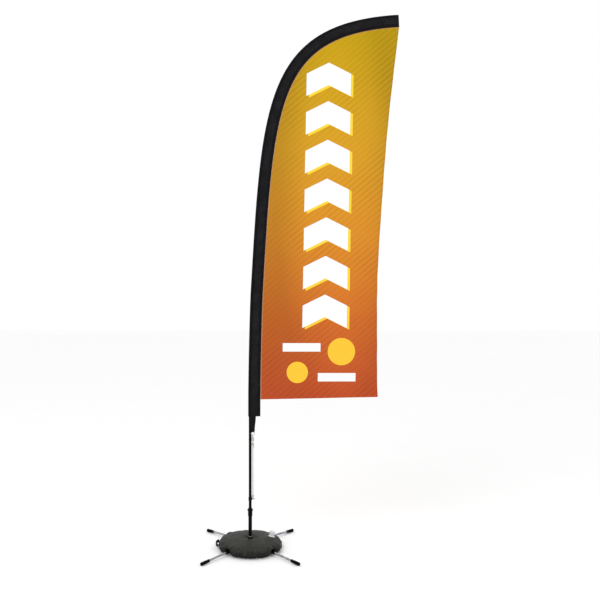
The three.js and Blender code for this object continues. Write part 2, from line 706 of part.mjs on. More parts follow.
// How far a point at an azimuth and radius lies sideways from the nearest leg's middle.
function besideLeg(azimuth, radius) {
  const fromLeg = Math.abs(((azimuth % (Math.PI / 2)) + Math.PI / 2) % (Math.PI / 2) - Math.PI / 4);
  return radius * Math.sin(fromLeg);
}

function bagEdge(azimuth) {
  const besideShare = smoothstep(besideLeg(azimuth, BAG_RADIUS), 0, 70);
  return BAG_RADIUS - 16 * (1 - besideShare);
}

function bagTop(radius) {
  const share = radius / BAG_RADIUS;
  return BAG_TOP - 6 * (1 - smoothstep(radius, BAG_HOLE_RADIUS, 60)) - 34 * share ** 3;
}

// The underside clears the hub, runs over the legs in channels and sags to the floor between.
function bagUnderside(azimuth, radius) {
  const overHub = HUB_HEIGHT + 2.5;
  const overLegs = THREE.MathUtils.lerp(62, 50, smoothstep(radius, 60, 140));
  const beside = smoothstep(besideLeg(azimuth, radius), 19, 40);
  const lobe = THREE.MathUtils.lerp(overLegs, BAG_FLOOR, beside);
  return THREE.MathUtils.lerp(overHub, lobe, smoothstep(radius, 74, 96));
}

function makeBag() {
  const azimuths = 48;
  const rings = Array.from({ length: azimuths }, (_, i) => {
    const azimuth = (i / azimuths) * 2 * Math.PI;
    const edge = bagEdge(azimuth);
    const under = (radius) => bagUnderside(azimuth, radius);
    const rim = edge - 14;
    const side = THREE.MathUtils.lerp(under(rim), bagTop(rim), 0.5);
    const profile = [[BAG_HOLE_RADIUS, bagTop(BAG_HOLE_RADIUS)], [50, bagTop(50)], [100, bagTop(100)],
      [150, bagTop(150)], [195, bagTop(195)], [rim, bagTop(rim)], [edge, side + 2], [edge, side - 3],
      [rim, under(rim)], [190, under(190)], [150, under(150)], [120, under(120)], [96, under(96)],
      [84, under(84)], [74, under(74)], [BAG_HOLE_RADIUS, under(BAG_HOLE_RADIUS)]];
    return profile.map(([radius, height]) => new THREE.Vector3(
      radius * Math.cos(azimuth),
      radius * Math.sin(azimuth),
      height,
    ));
  });
  addPiece('water_bag', skinned(rings, true), BAG_CLOTH);
}

// The filler neck and its cap lean with the bag's top.
function makeFiller() {
  const side = new THREE.Group();
  side.rotation.z = THREE.MathUtils.degToRad(FILLER_AZIMUTH);
  part.add(side);
  const filler = new THREE.Group();
  filler.position.set(FILLER_DISTANCE, 0, bagTop(FILLER_DISTANCE) + 0.6);
  filler.rotation.y = Math.atan(bagTop(FILLER_DISTANCE - 0.5) - bagTop(FILLER_DISTANCE + 0.5));
  side.add(filler);
  const flangeTop = 2;
  addPiece('filler_neck', turned([[NECK_BORE, 0], [NECK_FLANGE_RADIUS, 0],
    [NECK_FLANGE_RADIUS, flangeTop], [SHOULDER_RADIUS, flangeTop], [SHOULDER_RADIUS, SHOULDER_TOP],
    [NECK_RADIUS, SHOULDER_TOP], [NECK_RADIUS, NECK_HEIGHT], [NECK_BORE, NECK_HEIGHT],
    [NECK_BORE, 0]]), CAP_PLASTIC, filler);
  const sealBottom = NECK_HEIGHT + GAP;
  const sealTop = sealBottom + 2;
  const roof = sealTop + GAP;
  const capBore = NECK_RADIUS + 1.6;
  const lip = SHOULDER_TOP + 1;
  addPiece('filler_seal', ring(NECK_BORE - 1, capBore - 0.5, sealBottom, sealTop), RUBBER, filler);
  addPiece('filler_cap', turned([[capBore, lip], [CAP_RADIUS - 1, lip], [CAP_RADIUS, lip + 2],
    [CAP_RADIUS - 1, CAP_HEIGHT - 2], [CAP_RADIUS - 3, CAP_HEIGHT], [0, CAP_HEIGHT], [0, roof],
    [capBore, roof], [capBore, lip]]), CAP_PLASTIC, filler);
}

// A loop of webbing that bulges out from the bag's edge.
function makeHandle() {
  const start = THREE.MathUtils.degToRad(168);
  const sweep = THREE.MathUtils.degToRad(24);
  const middleHeight = 34;
  const halfWidth = 12;
  const thickness = 1.8;
  const bulge = 17;
  const section = [[0, -halfWidth], [thickness, -halfWidth], [thickness, halfWidth], [0, halfWidth]];
  const rings = distances(0, 1, 10).map((t) => {
    const azimuth = start + sweep * t;
    const inside = BAG_RADIUS + 1.2 + bulge * Math.sin(Math.PI * t) ** 0.7;
    return section.map(([out, up]) => {
      const radius = inside + out;
      const place = new THREE.Vector3(
        radius * Math.cos(azimuth),
        radius * Math.sin(azimuth),
        middleHeight + up,
      );
      place.plan = new THREE.Vector2(out, up);
      return place;
    });
  });
  addPiece('bag_handle', skinned(rings), WEBBING);
}

// ---------------------------------------------------------------- the whole flag

makeHub();
makeLegs();
makeSpindle();
makeRotator();
makePole();
makeTipRod();
makeSleeve();
makePanel();
makeRigging();
makeBag();
makeFiller();
makeHandle();

export default part;
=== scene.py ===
"""Feather flag with pole: the visual model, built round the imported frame. Lengths in metres, +Z up."""

import json
from bisect import bisect_right
from math import asin, atan, atan2, cos, exp, hypot, pi, radians, sin, sqrt, tau

import bmesh
import bpy
from mathutils import Matrix, Vector, noise
from mathutils.geometry import interpolate_bezier


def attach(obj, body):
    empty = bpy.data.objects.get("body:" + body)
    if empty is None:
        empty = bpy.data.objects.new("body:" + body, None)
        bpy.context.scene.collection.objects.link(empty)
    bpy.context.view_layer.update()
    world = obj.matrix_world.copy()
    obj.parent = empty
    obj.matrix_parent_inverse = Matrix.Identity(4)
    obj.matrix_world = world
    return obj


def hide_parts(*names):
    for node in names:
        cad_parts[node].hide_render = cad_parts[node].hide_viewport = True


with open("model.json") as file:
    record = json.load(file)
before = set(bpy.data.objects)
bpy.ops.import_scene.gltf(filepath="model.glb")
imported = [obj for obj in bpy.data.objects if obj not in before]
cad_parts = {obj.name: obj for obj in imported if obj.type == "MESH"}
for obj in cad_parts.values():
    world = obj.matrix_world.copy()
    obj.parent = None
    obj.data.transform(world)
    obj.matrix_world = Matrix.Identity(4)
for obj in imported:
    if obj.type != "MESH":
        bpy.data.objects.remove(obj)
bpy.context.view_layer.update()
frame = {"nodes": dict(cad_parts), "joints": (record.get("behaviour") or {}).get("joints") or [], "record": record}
joints = {joint["name"]: joint for joint in frame["joints"]}

# The object's driving sizes, as in its CAD model.
LEG_AZIMUTHS = {"front_right": -45, "rear_right": 45, "rear_left": 135, "front_left": -135}
LEG_LENGTH = 0.452  # pivot to the end of the foot cap
PIVOT_HEIGHT = 0.042
TONGUE_RADIUS = 0.009
TONGUE_HALF = 0.005  # half the thickness of the leg's flat end
SOCKET_RADIUS = 0.010
SOCKET_END = 0.215  # along the leg, from its pivot
LEG_TUBE_RADIUS = 0.008
FOOT_RADIUS = 0.012
FOOT_LENGTH = 0.077
PIN_RADIUS = 0.004
PIN_REACH = 0.0136  # from the pin's middle to the underside of its head
HUB_HEIGHT = 0.066
RING_BOTTOM = 0.084
RING_TOP = 0.091
RING_RADIUS = 0.0165
SPINDLE_BORE = 0.0088
ROTATOR_RADIUS = 0.014
ROTATOR_BORE = 0.0106
COLLAR_BOTTOM = 0.242
COLLAR_STEP = 0.268
COLLAR_TOP = 0.304
COLLAR_RADIUS = 0.017
FLANGE_RADIUS = 0.022
POLE_RADIUS = 0.011
POLE_BORE = 0.0097
SECTION_END = 1.080  # along the spine, where the lowest section's mouth is
POLE_FOOT = 0.270
BOW_START = Vector((0, 0, 1.150))
BOW_KNEE = Vector((0.020, 0, 1.985))
BOW_TIP = Vector((1.140, 0, 4.076))
KNEE_HEADING = radians(3.3)  # from upright, towards +X
TIP_HEADING = radians(86.5)
BOW_HANDLES = (0.150, 0.175, 1.450, 1.015)
SLEEVE_BOTTOM = 1.008
SLEEVE_NOSE = 0.0155
SEAM_REACH = 0.0785  # from the pole's axis to the sleeve's edge
PANEL_FROM = 0.868  # along the spine
PANEL_GAP = 0.0003
HEM = 0.014
PANEL_CORNER = (0.982, 1.155)  # the free edge's lower end, pull and upper end, in X and Z
PANEL_EDGE_PULL = (0.930, 2.280)
PANEL_PEAK = (1.141, 3.980)
RIPPLE = 0.014
RIPPLE_WAVES = 2.6
RIPPLE_SLANT = 1.5
FLANK_TURN = atan2(0.0133, SEAM_REACH)  # the strap lies along the sleeve's front flank
STRAP_SETBACK = 0.0121
STRAP_MIDDLE = 0.018
STRAP_TOP_WIDTH = 0.048
STRAP_LOW_WIDTH = 0.030
STRAP_GATHERED_WIDTH = 0.019  # inside the ring
STRAP_TOP = 1.050  # its hidden end, inside the sleeve
STRAP_BEND = 0.930  # the height where it starts to lean towards the ring
FOLDED_LOW = 0.922  # the folded end lies flat on the tape between these heights
FOLDED_HIGH = 0.972
STRAP_THICKNESS = 0.0014
EYE_SETBACK = 0.0147
EYE_RADIUS = 0.0135
WIRE_RADIUS = 0.0018
RING_CENTRE_HEIGHT = 0.878
CORD_RADIUS = 0.0035
HOOK_HEIGHT = 0.375
PEG_RADIUS = 0.0026
KNOT_X = 0.021  # the lower knot's place along the peg
BAG_RADIUS = 0.245
BAG_HOLE = 0.022
BAG_FLOOR = 0.002


# ---------------------------------------------------------------- small maths

def mix(a, b, share):
    return a + (b - a) * share


def smoothstep(value, low, high):
    t = min(max((value - low) / (high - low), 0), 1)
    return t * t * (3 - 2 * t)


def spread(start, end, count):
    """count + 1 evenly spread values."""
    return [mix(start, end, i / count) for i in range(count + 1)]


def circle(count):
    """count evenly spread angles, once round."""
    return spread(0, tau, count)[:-1]


def upwards(height):
    return Vector((0, 0, height))


def polar(radius, azimuth, height):
    """The point at a radius from the Z axis."""
    return Vector((radius * cos(azimuth), radius * sin(azimuth), height))


def wander(x, y=0.0, z=0.0):
    """Smooth noise from -1 to 1, the same in every run."""
    return noise.noise(Vector((x, y, z)))


class Spine:
    """The pole's bowed axis, measured by the distance from the pole's foot."""

    def __init__(self):
        from_start, to_knee, from_knee, to_tip = BOW_HANDLES
        up = upwards(1)
        knee_way = Vector((sin(KNEE_HEADING), 0, cos(KNEE_HEADING)))
        tip_way = Vector((sin(TIP_HEADING), 0, cos(TIP_HEADING)))
        first = (BOW_START, BOW_START + up * from_start, BOW_KNEE - knee_way * to_knee, BOW_KNEE)
        second = (BOW_KNEE, BOW_KNEE + knee_way * from_knee, BOW_TIP - tip_way * to_tip, BOW_TIP)
        samples = 600
        foot = upwards(POLE_FOOT)
        self.points = [foot.lerp(BOW_START, i / 50) for i in range(50)]
        self.points += interpolate_bezier(*first, samples)[:-1]
        self.points += interpolate_bezier(*second, samples)
        self.reach = [0.0]
        for a, b in zip(self.points, self.points[1:]):
            self.reach.append(self.reach[-1] + (b - a).length)
        self.length = self.reach[-1]

    def at(self, distance):
        """The point there, the direction along, and the direction across, towards the flag."""
        i = min(max(bisect_right(self.reach, distance) - 1, 0), len(self.points) - 2)
        a, b = self.points[i], self.points[i + 1]
        point = a.lerp(b, (distance - self.reach[i]) / (self.reach[i + 1] - self.reach[i]))
        before = self.points[max(i - 1, 0)]
        after = self.points[min(i + 2, len(self.points) - 1)]
        along = (after - before).normalized()
        return point, along, Vector((along.z, 0, -along.x))


spine = Spine()


# ---------------------------------------------------------------- meshes

def add_mesh(name, points, faces, corners=None, sharp=radians(38)):
    """A smooth-shaded object with its doubled points merged and its faces turned outwards."""
    mesh = bpy.data.meshes.new(name)
    mesh.from_pydata([tuple(p) for p in points], [], faces)
    if corners:
        layer = mesh.uv_layers.new(name="flat")
        layer.data.foreach_set("uv", [value for corner in corners for value in corner])
    body = bmesh.new()
    body.from_mesh(mesh)
    bmesh.ops.remove_doubles(body, verts=body.verts, dist=1e-6)
    bmesh.ops.dissolve_degenerate(body, edges=body.edges, dist=1e-7)
    bmesh.ops.recalc_face_normals(body, faces=body.faces)
    body.to_mesh(mesh)
    body.free()
    mesh.shade_smooth()
    mesh.set_sharp_from_angle(angle=sharp)
    piece = bpy.data.objects.new(name, mesh)
    bpy.context.scene.collection.objects.link(piece)
    return piece


def lofted(name, rings, flat=None, joins_itself=False, sharp=radians(38)):
    """A skin over closed rings with the same even number of points. flat(i, j) is the point's
    place on the flat cloth or round the tube, in metres. Open ends are closed by a strip."""
    count = len(rings[0])
    total = len(rings)
    points = [p for ring in rings for p in ring]
    faces, corners = [], []

    def add_face(places):
        faces.append([(i % total) * count + j % count for i, j in places])
        corners.extend(flat(i, j) if flat else (0.0, 0.0) for i, j in places)

    for i in range(total if joins_itself else total - 1):
        for j in range(count):
            add_face([(i, j), (i, j + 1), (i + 1, j + 1), (i + 1, j)])
    if not joins_itself:
        for i in (0, total - 1):
            for j in range(count // 2 - 1):
                add_face([(i, j), (i, j + 1), (i, count - 2 - j), (i, count - 1 - j)])
    return add_mesh(name, points, faces, corners, sharp)


def rounded(profile, radius, steps=3):
    """The closed profile of (radius, height) with each corner off the axis turned into an arc."""
    out = []
    for i, corner in enumerate(profile):
        here = Vector(corner)
        before = Vector(profile[i - 1])
        after = Vector(profile[(i + 1) % len(profile)])
        if here.x < 1e-6 or (before - here).length < 1e-6 or (after - here).length < 1e-6:
            out.append(here)
            continue
        cut = min(radius, 0.45 * (before - here).length, 0.45 * (after - here).length)
        start = here + (before - here).normalized() * cut
        end = here + (after - here).normalized() * cut
        for t in spread(0, 1, steps):
            out.append(start * (1 - t) ** 2 + here * 2 * t * (1 - t) + end * t * t)
    return out


def turned(name, profile, place=Matrix(), segments=64, shaped=None):
    """A body turned about Z from a closed profile of (radius, height), then moved to place.
    shaped(radius, height, azimuth) gives a radius that changes round the body."""
    rings = []
    for i in range(segments):
        azimuth = tau * i / segments
        ring = []
        for radius, height in profile:
            wide = shaped(radius, height, azimuth) if shaped and radius > 1e-6 else radius
            ring.append(place @ polar(wide, azimuth, height))
        rings.append(ring)
    return lofted(name, rings, joins_itself=True)


def tube(name, path, radius, sides, closed=False):
    """A round tube along a path of points. Its flat place is round it and along it, in metres."""
    path = [Vector(p) for p in path]
    total = len(path)
    rings, reach = [], [0.0]
    side = None
    for i, point in enumerate(path):
        before = path[i - 1] if closed or i else point
        after = path[(i + 1) % total] if closed or i < total - 1 else point
        along = (after - before).normalized()
        if side is None:
            side = along.orthogonal()
        side = (side - along * side.dot(along)).normalized()
        up = along.cross(side)
        wide = radius(i / (total - 1)) if callable(radius) else radius
        angles = [tau * j / sides for j in range(sides)]
        rings.append([point + side * (wide * cos(a)) + up * (wide * sin(a)) for a in angles])
        reach.append(reach[-1] + (path[(i + 1) % total] - point).length)
    widest = max(radius(t) for t in (0, 0.5, 1)) if callable(radius) else radius
    girth = tau * widest
    return lofted(name, rings, lambda i, j: (girth * j / sides, reach[i]), joins_itself=closed)


def joined(name, pieces):
    """One object from several that belong to one solid piece."""
    for piece in bpy.context.selected_objects:
        piece.select_set(False)
    for piece in pieces:
        piece.select_set(True)
    bpy.context.view_layer.objects.active = pieces[0]
    bpy.ops.object.join()
    pieces[0].name = name
    pieces[0].data.name = name
    return pieces[0]


def add_stitches(name, line, pitch=0.0045, length=0.0030, thread=0.00032):
    """Sewing thread along a line of (point, outward): one small raised ridge for each stitch."""
    points, faces = [], []
    reach, next_stitch = 0.0, 0.0
    for (a, out), (b, _) in zip(line, line[1:]):
        step = (b - a).length
        if step < 1e-9:
            continue
        along = (b - a) / step
        side = along.cross(out).normalized()
        while next_stitch <= reach + step:
            middle = a + along * (next_stitch - reach)
            base = len(points)
            half = along * (length / 2)
            points += [middle - half, middle + half]
            for shift in (side, out, -side, -out):
                points.append(middle + shift * thread)
            for k in range(4):
                one, two = base + 2 + k, base + 2 + (k + 1) % 4
                faces += [(base, one, two), (base + 1, two, one)]
            next_stitch += pitch
        reach += step
    return add_mesh(name, points, faces)


# ---------------------------------------------------------------- materials

def srgb(red, green, blue):
    """A linear colour from display values of 0 to 255."""
    def linear(value):
        share = value / 255
        return share / 12.92 if share <= 0.04045 else ((share + 0.055) / 1.055) ** 2.4
    return (linear(red), linear(green), linear(blue), 1.0)


class Look:
    """One material: a Principled shader and short calls that add the nodes that feed it."""

    def __init__(self, name, **settings):
        self.material = bpy.data.materials.new(name)
        self.material.use_nodes = True
        self.tree = self.material.node_tree
        self.shader = self.tree.nodes["Principled BSDF"]
        for key, value in settings.items():
            self.shader.inputs[key.replace("_", " ")].default_value = value
        self.place = self.node("TexCoord").outputs["Object"]
        x, y, z = self.node("SeparateXYZ", {0: self.place}).outputs[:3]
        self.x, self.y, self.z = x, y, z
        self.normal = None

    def node(self, kind, inputs=(), **properties):
        made = self.tree.nodes.new("ShaderNode" + kind)
        for key, value in properties.items():
            setattr(made, key, value)
        for key, value in (inputs.items() if isinstance(inputs, dict) else enumerate(inputs)):
            self.feed(made.inputs[key], value)
        return made

    def feed(self, socket, value):
        if isinstance(value, bpy.types.NodeSocket):
            self.tree.links.new(value, socket)
        else:
            socket.default_value = value

    def give(self, **values):
        for key, value in values.items():
            self.feed(self.shader.inputs[key.replace("_", " ")], value)

    def maths(self, operation, *values):
        return self.node("Math", values, operation=operation).outputs[0]

    def times(self, a, b):
        return self.maths("MULTIPLY", a, b)

    def line(self, value, slope, start):
        """slope times value, plus start."""
        return self.maths("MULTIPLY_ADD", value, slope, start)

    def sum_of_squares(self, a, b):
        return self.maths("ADD", self.times(a, a), self.times(b, b))

    def step(self, value, low, high):
        """From 0 at low to 1 at high, with soft ends."""
        inputs = {0: value, 1: low, 2: high}
        return self.node("MapRange", inputs, interpolation_type="SMOOTHSTEP").outputs[0]

    def band(self, value, low, high, soft):
        """1 between low and high, and 0 outside, with soft ends."""
        rise = self.step(value, low - soft, low + soft)
        fall = self.step(value, high + soft, high - soft)
        return self.times(rise, fall)

    def noise(self, scale, detail, stretch=None):
        place = self.place
        if stretch:
            place = self.node("Mapping", {0: place, 3: stretch}).outputs[0]
        return self.node("TexNoise", {"Vector": place, "Scale": scale, "Detail": detail}).outputs[0]

    def patches(self, scale, detail, low, high, stretch=None):
        """Soft-edged patches: 0 where the noise is under low, and 1 where it is over high."""
        return self.step(self.noise(scale, detail, stretch), low, high)

    def mixed(self, share, a, b):
        return self.node("Mix", {0: share, 6: a, 7: b}, data_type="RGBA").outputs[2]

    def over(self, mask, strength, under, colour):
        """colour laid over under, as strongly as mask times strength."""
        return self.mixed(self.times(mask, strength), under, colour)

    def scaled(self, colour, factor):
        colour = colour if isinstance(colour, bpy.types.NodeSocket) else colour[:3]
        return self.node("VectorMath", {0: colour, 3: factor}, operation="SCALE").outputs[0]

    def ramp(self, value, low, high, colours):
        """A colour ramp over a range of value. colours are (value, colour) pairs."""
        share = self.node("MapRange", {0: value, 1: low, 2: high}).outputs[0]
        made = self.node("ValToRGB", {0: share})
        stops = made.color_ramp.elements
        while len(stops) < len(colours):
            stops.new(0.5)
        for stop, (at, colour) in zip(stops, colours):
            stop.position = (at - low) / (high - low)
            stop.color = colour
        return made.outputs[0]

    def bump(self, height, distance, strength):
        inputs = {"Height": height, "Distance": distance, "Strength": strength}
        if self.normal:
            inputs["Normal"] = self.normal
        self.normal = self.node("Bump", inputs).outputs[0]
        self.feed(self.shader.inputs["Normal"], self.normal)

    def roughness(self, mask, change, lowest):
        self.give(Roughness=self.line(mask, change, lowest))

    def flat_place(self):
        """The two distances that the mesh carries, across and along, in metres."""
        flat = self.node("UVMap", uv_map="flat").outputs[0]
        return self.node("SeparateXYZ", {0: flat}).outputs[:2]

    def wave(self, value, pitch):
        """A sine from 0 to 1 along value, one turn for each pitch."""
        turn = self.times(value, tau / pitch)
        return self.line(self.maths("SINE", turn), 0.5, 0.5)

    def weave(self, across, along, pitch):
        """Threads that pass over and under each other."""
        warp = self.wave(across, pitch)
        weft = self.wave(along, pitch)
        return self.maths("ABSOLUTE", self.maths("SUBTRACT", warp, weft))


def hub_metal():
    look = Look("hub_metal", Specular_IOR_Level=0.06)
    scuff = look.patches(9, 6, 0.55, 0.75)
    dust = look.patches(60, 4, 0.35, 0.8)
    colour = look.mixed(scuff, srgb(7, 7, 8), srgb(22, 22, 24))
    look.give(Base_Color=look.mixed(dust, colour, srgb(14, 13, 13)))
    look.roughness(scuff, 0.18, 0.42)
    look.bump(look.noise(900, 2), 0.0002, 0.35)
    return look.material


def brushed(name, colour, dark, roughness):
    """Bare metal with fine drawn lines, smudges and a few darker specks."""
    look = Look(name, Metallic=1.0)
    lines = look.noise(700, 2, stretch=(1, 1, 0.03))
    smudge = look.noise(28, 5)
    speck = look.patches(160, 3, 0.64, 0.74)
    tone = look.mixed(look.step(smudge, 0.3, 0.7), colour, dark)
    look.give(Base_Color=look.over(speck, 0.3, tone, srgb(96, 95, 94)))
    rough = look.line(lines, 0.12, roughness)
    look.roughness(smudge, 0.10, rough)
    look.bump(lines, 0.0001, 0.15)
    return look.material


def steel():
    return brushed("steel", srgb(172, 173, 177), srgb(138, 139, 142), 0.24)


def chrome():
    return brushed("chrome", srgb(176, 177, 181), srgb(132, 133, 138), 0.08)


def rubber():
    look = Look("rubber", Specular_IOR_Level=0.06)
    dust = look.patches(45, 6, 0.45, 0.78)
    low = look.step(look.z, 0.03, 0.0)
    wear = look.times(dust, look.line(low, 0.5, 0.35))
    look.give(Base_Color=look.mixed(wear, srgb(8, 8, 8), srgb(40, 38, 35)))
    look.roughness(dust, 0.15, 0.72)
    look.bump(look.noise(1400, 3), 0.0002, 0.4)
    return look.material


def black_plastic():
    look = Look("black_plastic", Specular_IOR_Level=0.07)
    grain = look.noise(1600, 2)
    scuff = look.patches(70, 6, 0.58, 0.75, stretch=(1, 1, 0.3))
    look.give(Base_Color=look.mixed(scuff, srgb(8, 8, 9), srgb(26, 26, 28)))
    look.roughness(grain, 0.18, 0.36)
    look.bump(grain, 0.0002, 0.5)
    return look.material


def pole_composite():
    look = Look("pole_composite", Specular_IOR_Level=0.05)
    fibres = look.noise(420, 4, stretch=(1, 1, 0.012))
    rub = look.patches(30, 5, 0.56, 0.72, stretch=(1, 1, 0.15))
    colour = look.mixed(fibres, srgb(4, 4, 5), srgb(15, 15, 17))
    look.give(Base_Color=look.over(rub, 0.4, colour, srgb(34, 34, 37)))
    look.roughness(fibres, 0.25, 0.24)
    look.bump(fibres, 0.0002, 0.35)
    return look.material


def sleeve_cloth():
    """Dark stretch cloth: fine knitted ribs along the pole, with painted shade round the rounded nose,
    blacker at the sewn edge, and a dark brown line beside the panel."""
    look = Look("sleeve_cloth", Sheen_Weight=0.04, Sheen_Roughness=0.5, Specular_IOR_Level=0.05)
    across, along = look.flat_place()
    ribs = look.wave(across, 0.0011)
    rows = look.wave(along, 0.0008)
    knit = look.times(ribs, look.line(rows, 0.4, 0.6))
    cloudy = look.noise(14, 5)
    base = look.mixed(look.step(cloudy, 0.3, 0.75), srgb(23, 23, 25), srgb(34, 33, 36))
    # painted shade: the rounded nose is darkened where it turns away from the light
    nose = look.step(across, 0.016, 0.004)
    seam = look.band(across, SEAM_REACH - 0.021, SEAM_REACH + 0.004, 0.002)
    line = look.step(across, SEAM_REACH - 0.0045, SEAM_REACH - 0.002)
    # the painted shade round the nose, joined with the darker band at the sewn edge
    shade = look.maths("MAXIMUM", look.times(nose, 0.75), look.times(seam, 0.6))
    base = look.mixed(shade, base, srgb(12, 11, 14))
    base = look.over(line, 0.8, base, srgb(46, 27, 20))
    thread = look.line(knit, 0.35, 0.80)
    look.give(Base_Color=look.scaled(base, thread))
    look.roughness(cloudy, 0.12, 0.74)
    look.bump(look.noise(55, 4, stretch=(1, 1, 2)), 0.002, 0.45)
    look.bump(knit, 0.0003, 0.6)
    return look.material


PRINT_FROM = 1.0  # heights that the ground colours run over
PRINT_TO = 4.1
GROUND = ((1.10, srgb(189, 77, 43)), (1.75, srgb(188, 98, 37)), (2.36, srgb(194, 124, 36)),
          (3.00, srgb(190, 138, 32)), (4.00, srgb(184, 150, 15)))
COLUMN_X = 0.539  # middle of the column of chevrons, carried down to the floor
COLUMN_LEAN = 0.018
COLUMN_FOOT = 1.765
CHEVRONS = 7
CHEVRON_PITCH = 0.297
CHEVRON_SHARE = 0.6  # of the pitch that is filled
CHEVRON_HALF_WIDTH = 0.17
CHEVRON_SLOPE = 0.5
CHEVRON_SOFT = 0.004  # of the pitch
PRINT_SOFT = 0.001
GLOW_MIDDLE = (0.68, 2.65)  # X and Z, as for its half sizes
GLOW_HALF = (0.50, 1.75)
STRIPE_SLOPE = 0.84
STRIPE_PITCH = 0.046
SHADOW_SHIFT = (0.020, -0.012)
DISCS = ((0.700, 1.505, 0.105), (0.362, 1.345, 0.082))  # middle X, middle Z, radius
BARS = ((0.25, 0.54, 1.505, 1.570), (0.52, 0.81, 1.275, 1.340))  # left, right, low, high


def chevron_mask(look, shift):
    """The column of plain chevrons, moved by shift."""
    middle = look.line(look.z, COLUMN_LEAN, COLUMN_X + shift[0])
    x = look.maths("ABSOLUTE", look.maths("SUBTRACT", look.x, middle))
    z = look.maths("SUBTRACT", look.z, COLUMN_FOOT + shift[1])
    rank = look.maths("DIVIDE", look.line(x, CHEVRON_SLOPE, z), CHEVRON_PITCH)
    stroke = look.band(look.maths("FRACT", rank), 0.02, CHEVRON_SHARE, CHEVRON_SOFT)
    inside = look.step(x, CHEVRON_HALF_WIDTH + PRINT_SOFT, CHEVRON_HALF_WIDTH - PRINT_SOFT)
    column = look.band(rank, 0.0, CHEVRONS, CHEVRON_SOFT)
    return look.times(stroke, look.times(inside, column))


def disc_mask(look):
    masks = []
    for middle_x, middle_z, radius in DISCS:
        x = look.maths("SUBTRACT", look.x, middle_x)
        z = look.maths("SUBTRACT", look.z, middle_z)
        reach = look.maths("SQRT", look.sum_of_squares(x, z))
        masks.append(look.step(reach, radius + PRINT_SOFT, radius - PRINT_SOFT))
    return look.maths("MAXIMUM", *masks)


def bar_mask(look):
    masks = []
    for left, right, low, high in BARS:
        wide = look.band(look.x, left, right, PRINT_SOFT)
        masks.append(look.times(wide, look.band(look.z, low, high, PRINT_SOFT)))
    return look.maths("MAXIMUM", *masks)


def panel_cloth():
    """Printed polyester: a yellow to orange ground with a soft glow in the middle, faint slanted
    stripes and plain generic shapes, over a fine weave, with a painted highlight along the seam."""
    look = Look("panel_cloth", Sheen_Weight=0.03, Sheen_Roughness=0.4, Specular_IOR_Level=0.08)
    ground = look.ramp(look.z, PRINT_FROM, PRINT_TO, GROUND)
    x = look.maths("DIVIDE", look.maths("SUBTRACT", look.x, GLOW_MIDDLE[0]), GLOW_HALF[0])
    z = look.maths("DIVIDE", look.maths("SUBTRACT", look.z, GLOW_MIDDLE[1]), GLOW_HALF[1])
    glow = look.step(look.sum_of_squares(x, z), 1.0, 0.0)
    colour = look.scaled(ground, look.line(glow, 0.34, 0.88))
    slant = look.line(look.x, -STRIPE_SLOPE, look.z)
    stripes = look.step(look.wave(slant, STRIPE_PITCH), 0.25, 0.85)
    patches = look.patches(2.4, 3, 0.34, 0.72)
    worn = look.times(stripes, look.line(patches, 0.13, 0.04))
    colour = look.scaled(colour, look.maths("SUBTRACT", 1.05, worn))
    gold = look.mixed(look.step(look.z, 1.3, 2.2), srgb(250, 196, 58), srgb(250, 212, 62))
    colour = look.mixed(chevron_mask(look, SHADOW_SHIFT), colour, gold)
    colour = look.mixed(disc_mask(look), colour, srgb(250, 196, 58))
    white = look.maths("MAXIMUM", chevron_mask(look, (0, 0)), bar_mask(look))
    colour = look.mixed(white, colour, srgb(244, 244, 248))
    from_seam, from_edge = look.flat_place()
    # painted highlight: a light tan line along the seam stands in for the light on the cloth's fold there
    seam_fold_highlight = look.step(from_seam, 0.0065, 0.005)
    colour = look.over(seam_fold_highlight, 0.85, colour, srgb(182, 134, 98))
    hem = look.step(from_edge, HEM + 0.0005, HEM - 0.0005)
    colour = look.scaled(colour, look.maths("SUBTRACT", 1.0, look.times(hem, 0.08)))
    weave = look.weave(look.x, look.z, 0.0009)
    look.give(Base_Color=look.scaled(colour, look.line(weave, 0.10, 0.95)))
    look.roughness(look.noise(20, 4), 0.15, 0.62)
    look.bump(look.noise(3.2, 4, stretch=(1, 1, 0.6)), 0.012, 0.35)
    look.bump(weave, 0.0002, 0.5)
    return look.material


def webbing():
    """Woven tape: ribs across it, with a slight sheen on each."""
    look = Look("webbing", Sheen_Weight=0.05, Sheen_Roughness=0.45, Specular_IOR_Level=0.06)
    across, along = look.flat_place()
    slanted = look.line(look.wave(across, 0.012), 0.0035, along)
    ribs = look.wave(slanted, 0.0018)
    cords = look.wave(across, 0.0015)
    cloth = look.times(ribs, look.line(cords, 0.5, 0.5))
    look.give(Base_Color=look.mixed(cloth, srgb(9, 9, 10), srgb(33, 33, 36)))
    look.roughness(look.noise(90, 3), 0.2, 0.68)
    look.bump(cloth, 0.0005, 0.8)
    return look.material


def cord_cloth():
    """Braided cover of an elastic cord: two sets of slanted strands, and a grey tracer."""
    look = Look("cord_cloth", Sheen_Weight=0.4, Sheen_Roughness=0.5, Specular_IOR_Level=0.25)
    across, along = look.flat_place()
    left = look.wave(look.maths("ADD", across, along), 0.00275)
    right = look.wave(look.maths("SUBTRACT", across, along), 0.00275)
    braid = look.maths("ABSOLUTE", look.maths("SUBTRACT", left, right))
    grime = look.patches(60, 5, 0.42, 0.75)
    colour = look.mixed(braid, srgb(150, 149, 146), srgb(222, 221, 217))
    look.give(Base_Color=look.over(grime, 0.35, colour, srgb(150, 145, 136)))
    look.roughness(grime, 0.12, 0.74)
    look.bump(braid, 0.0005, 0.8)
    return look.material


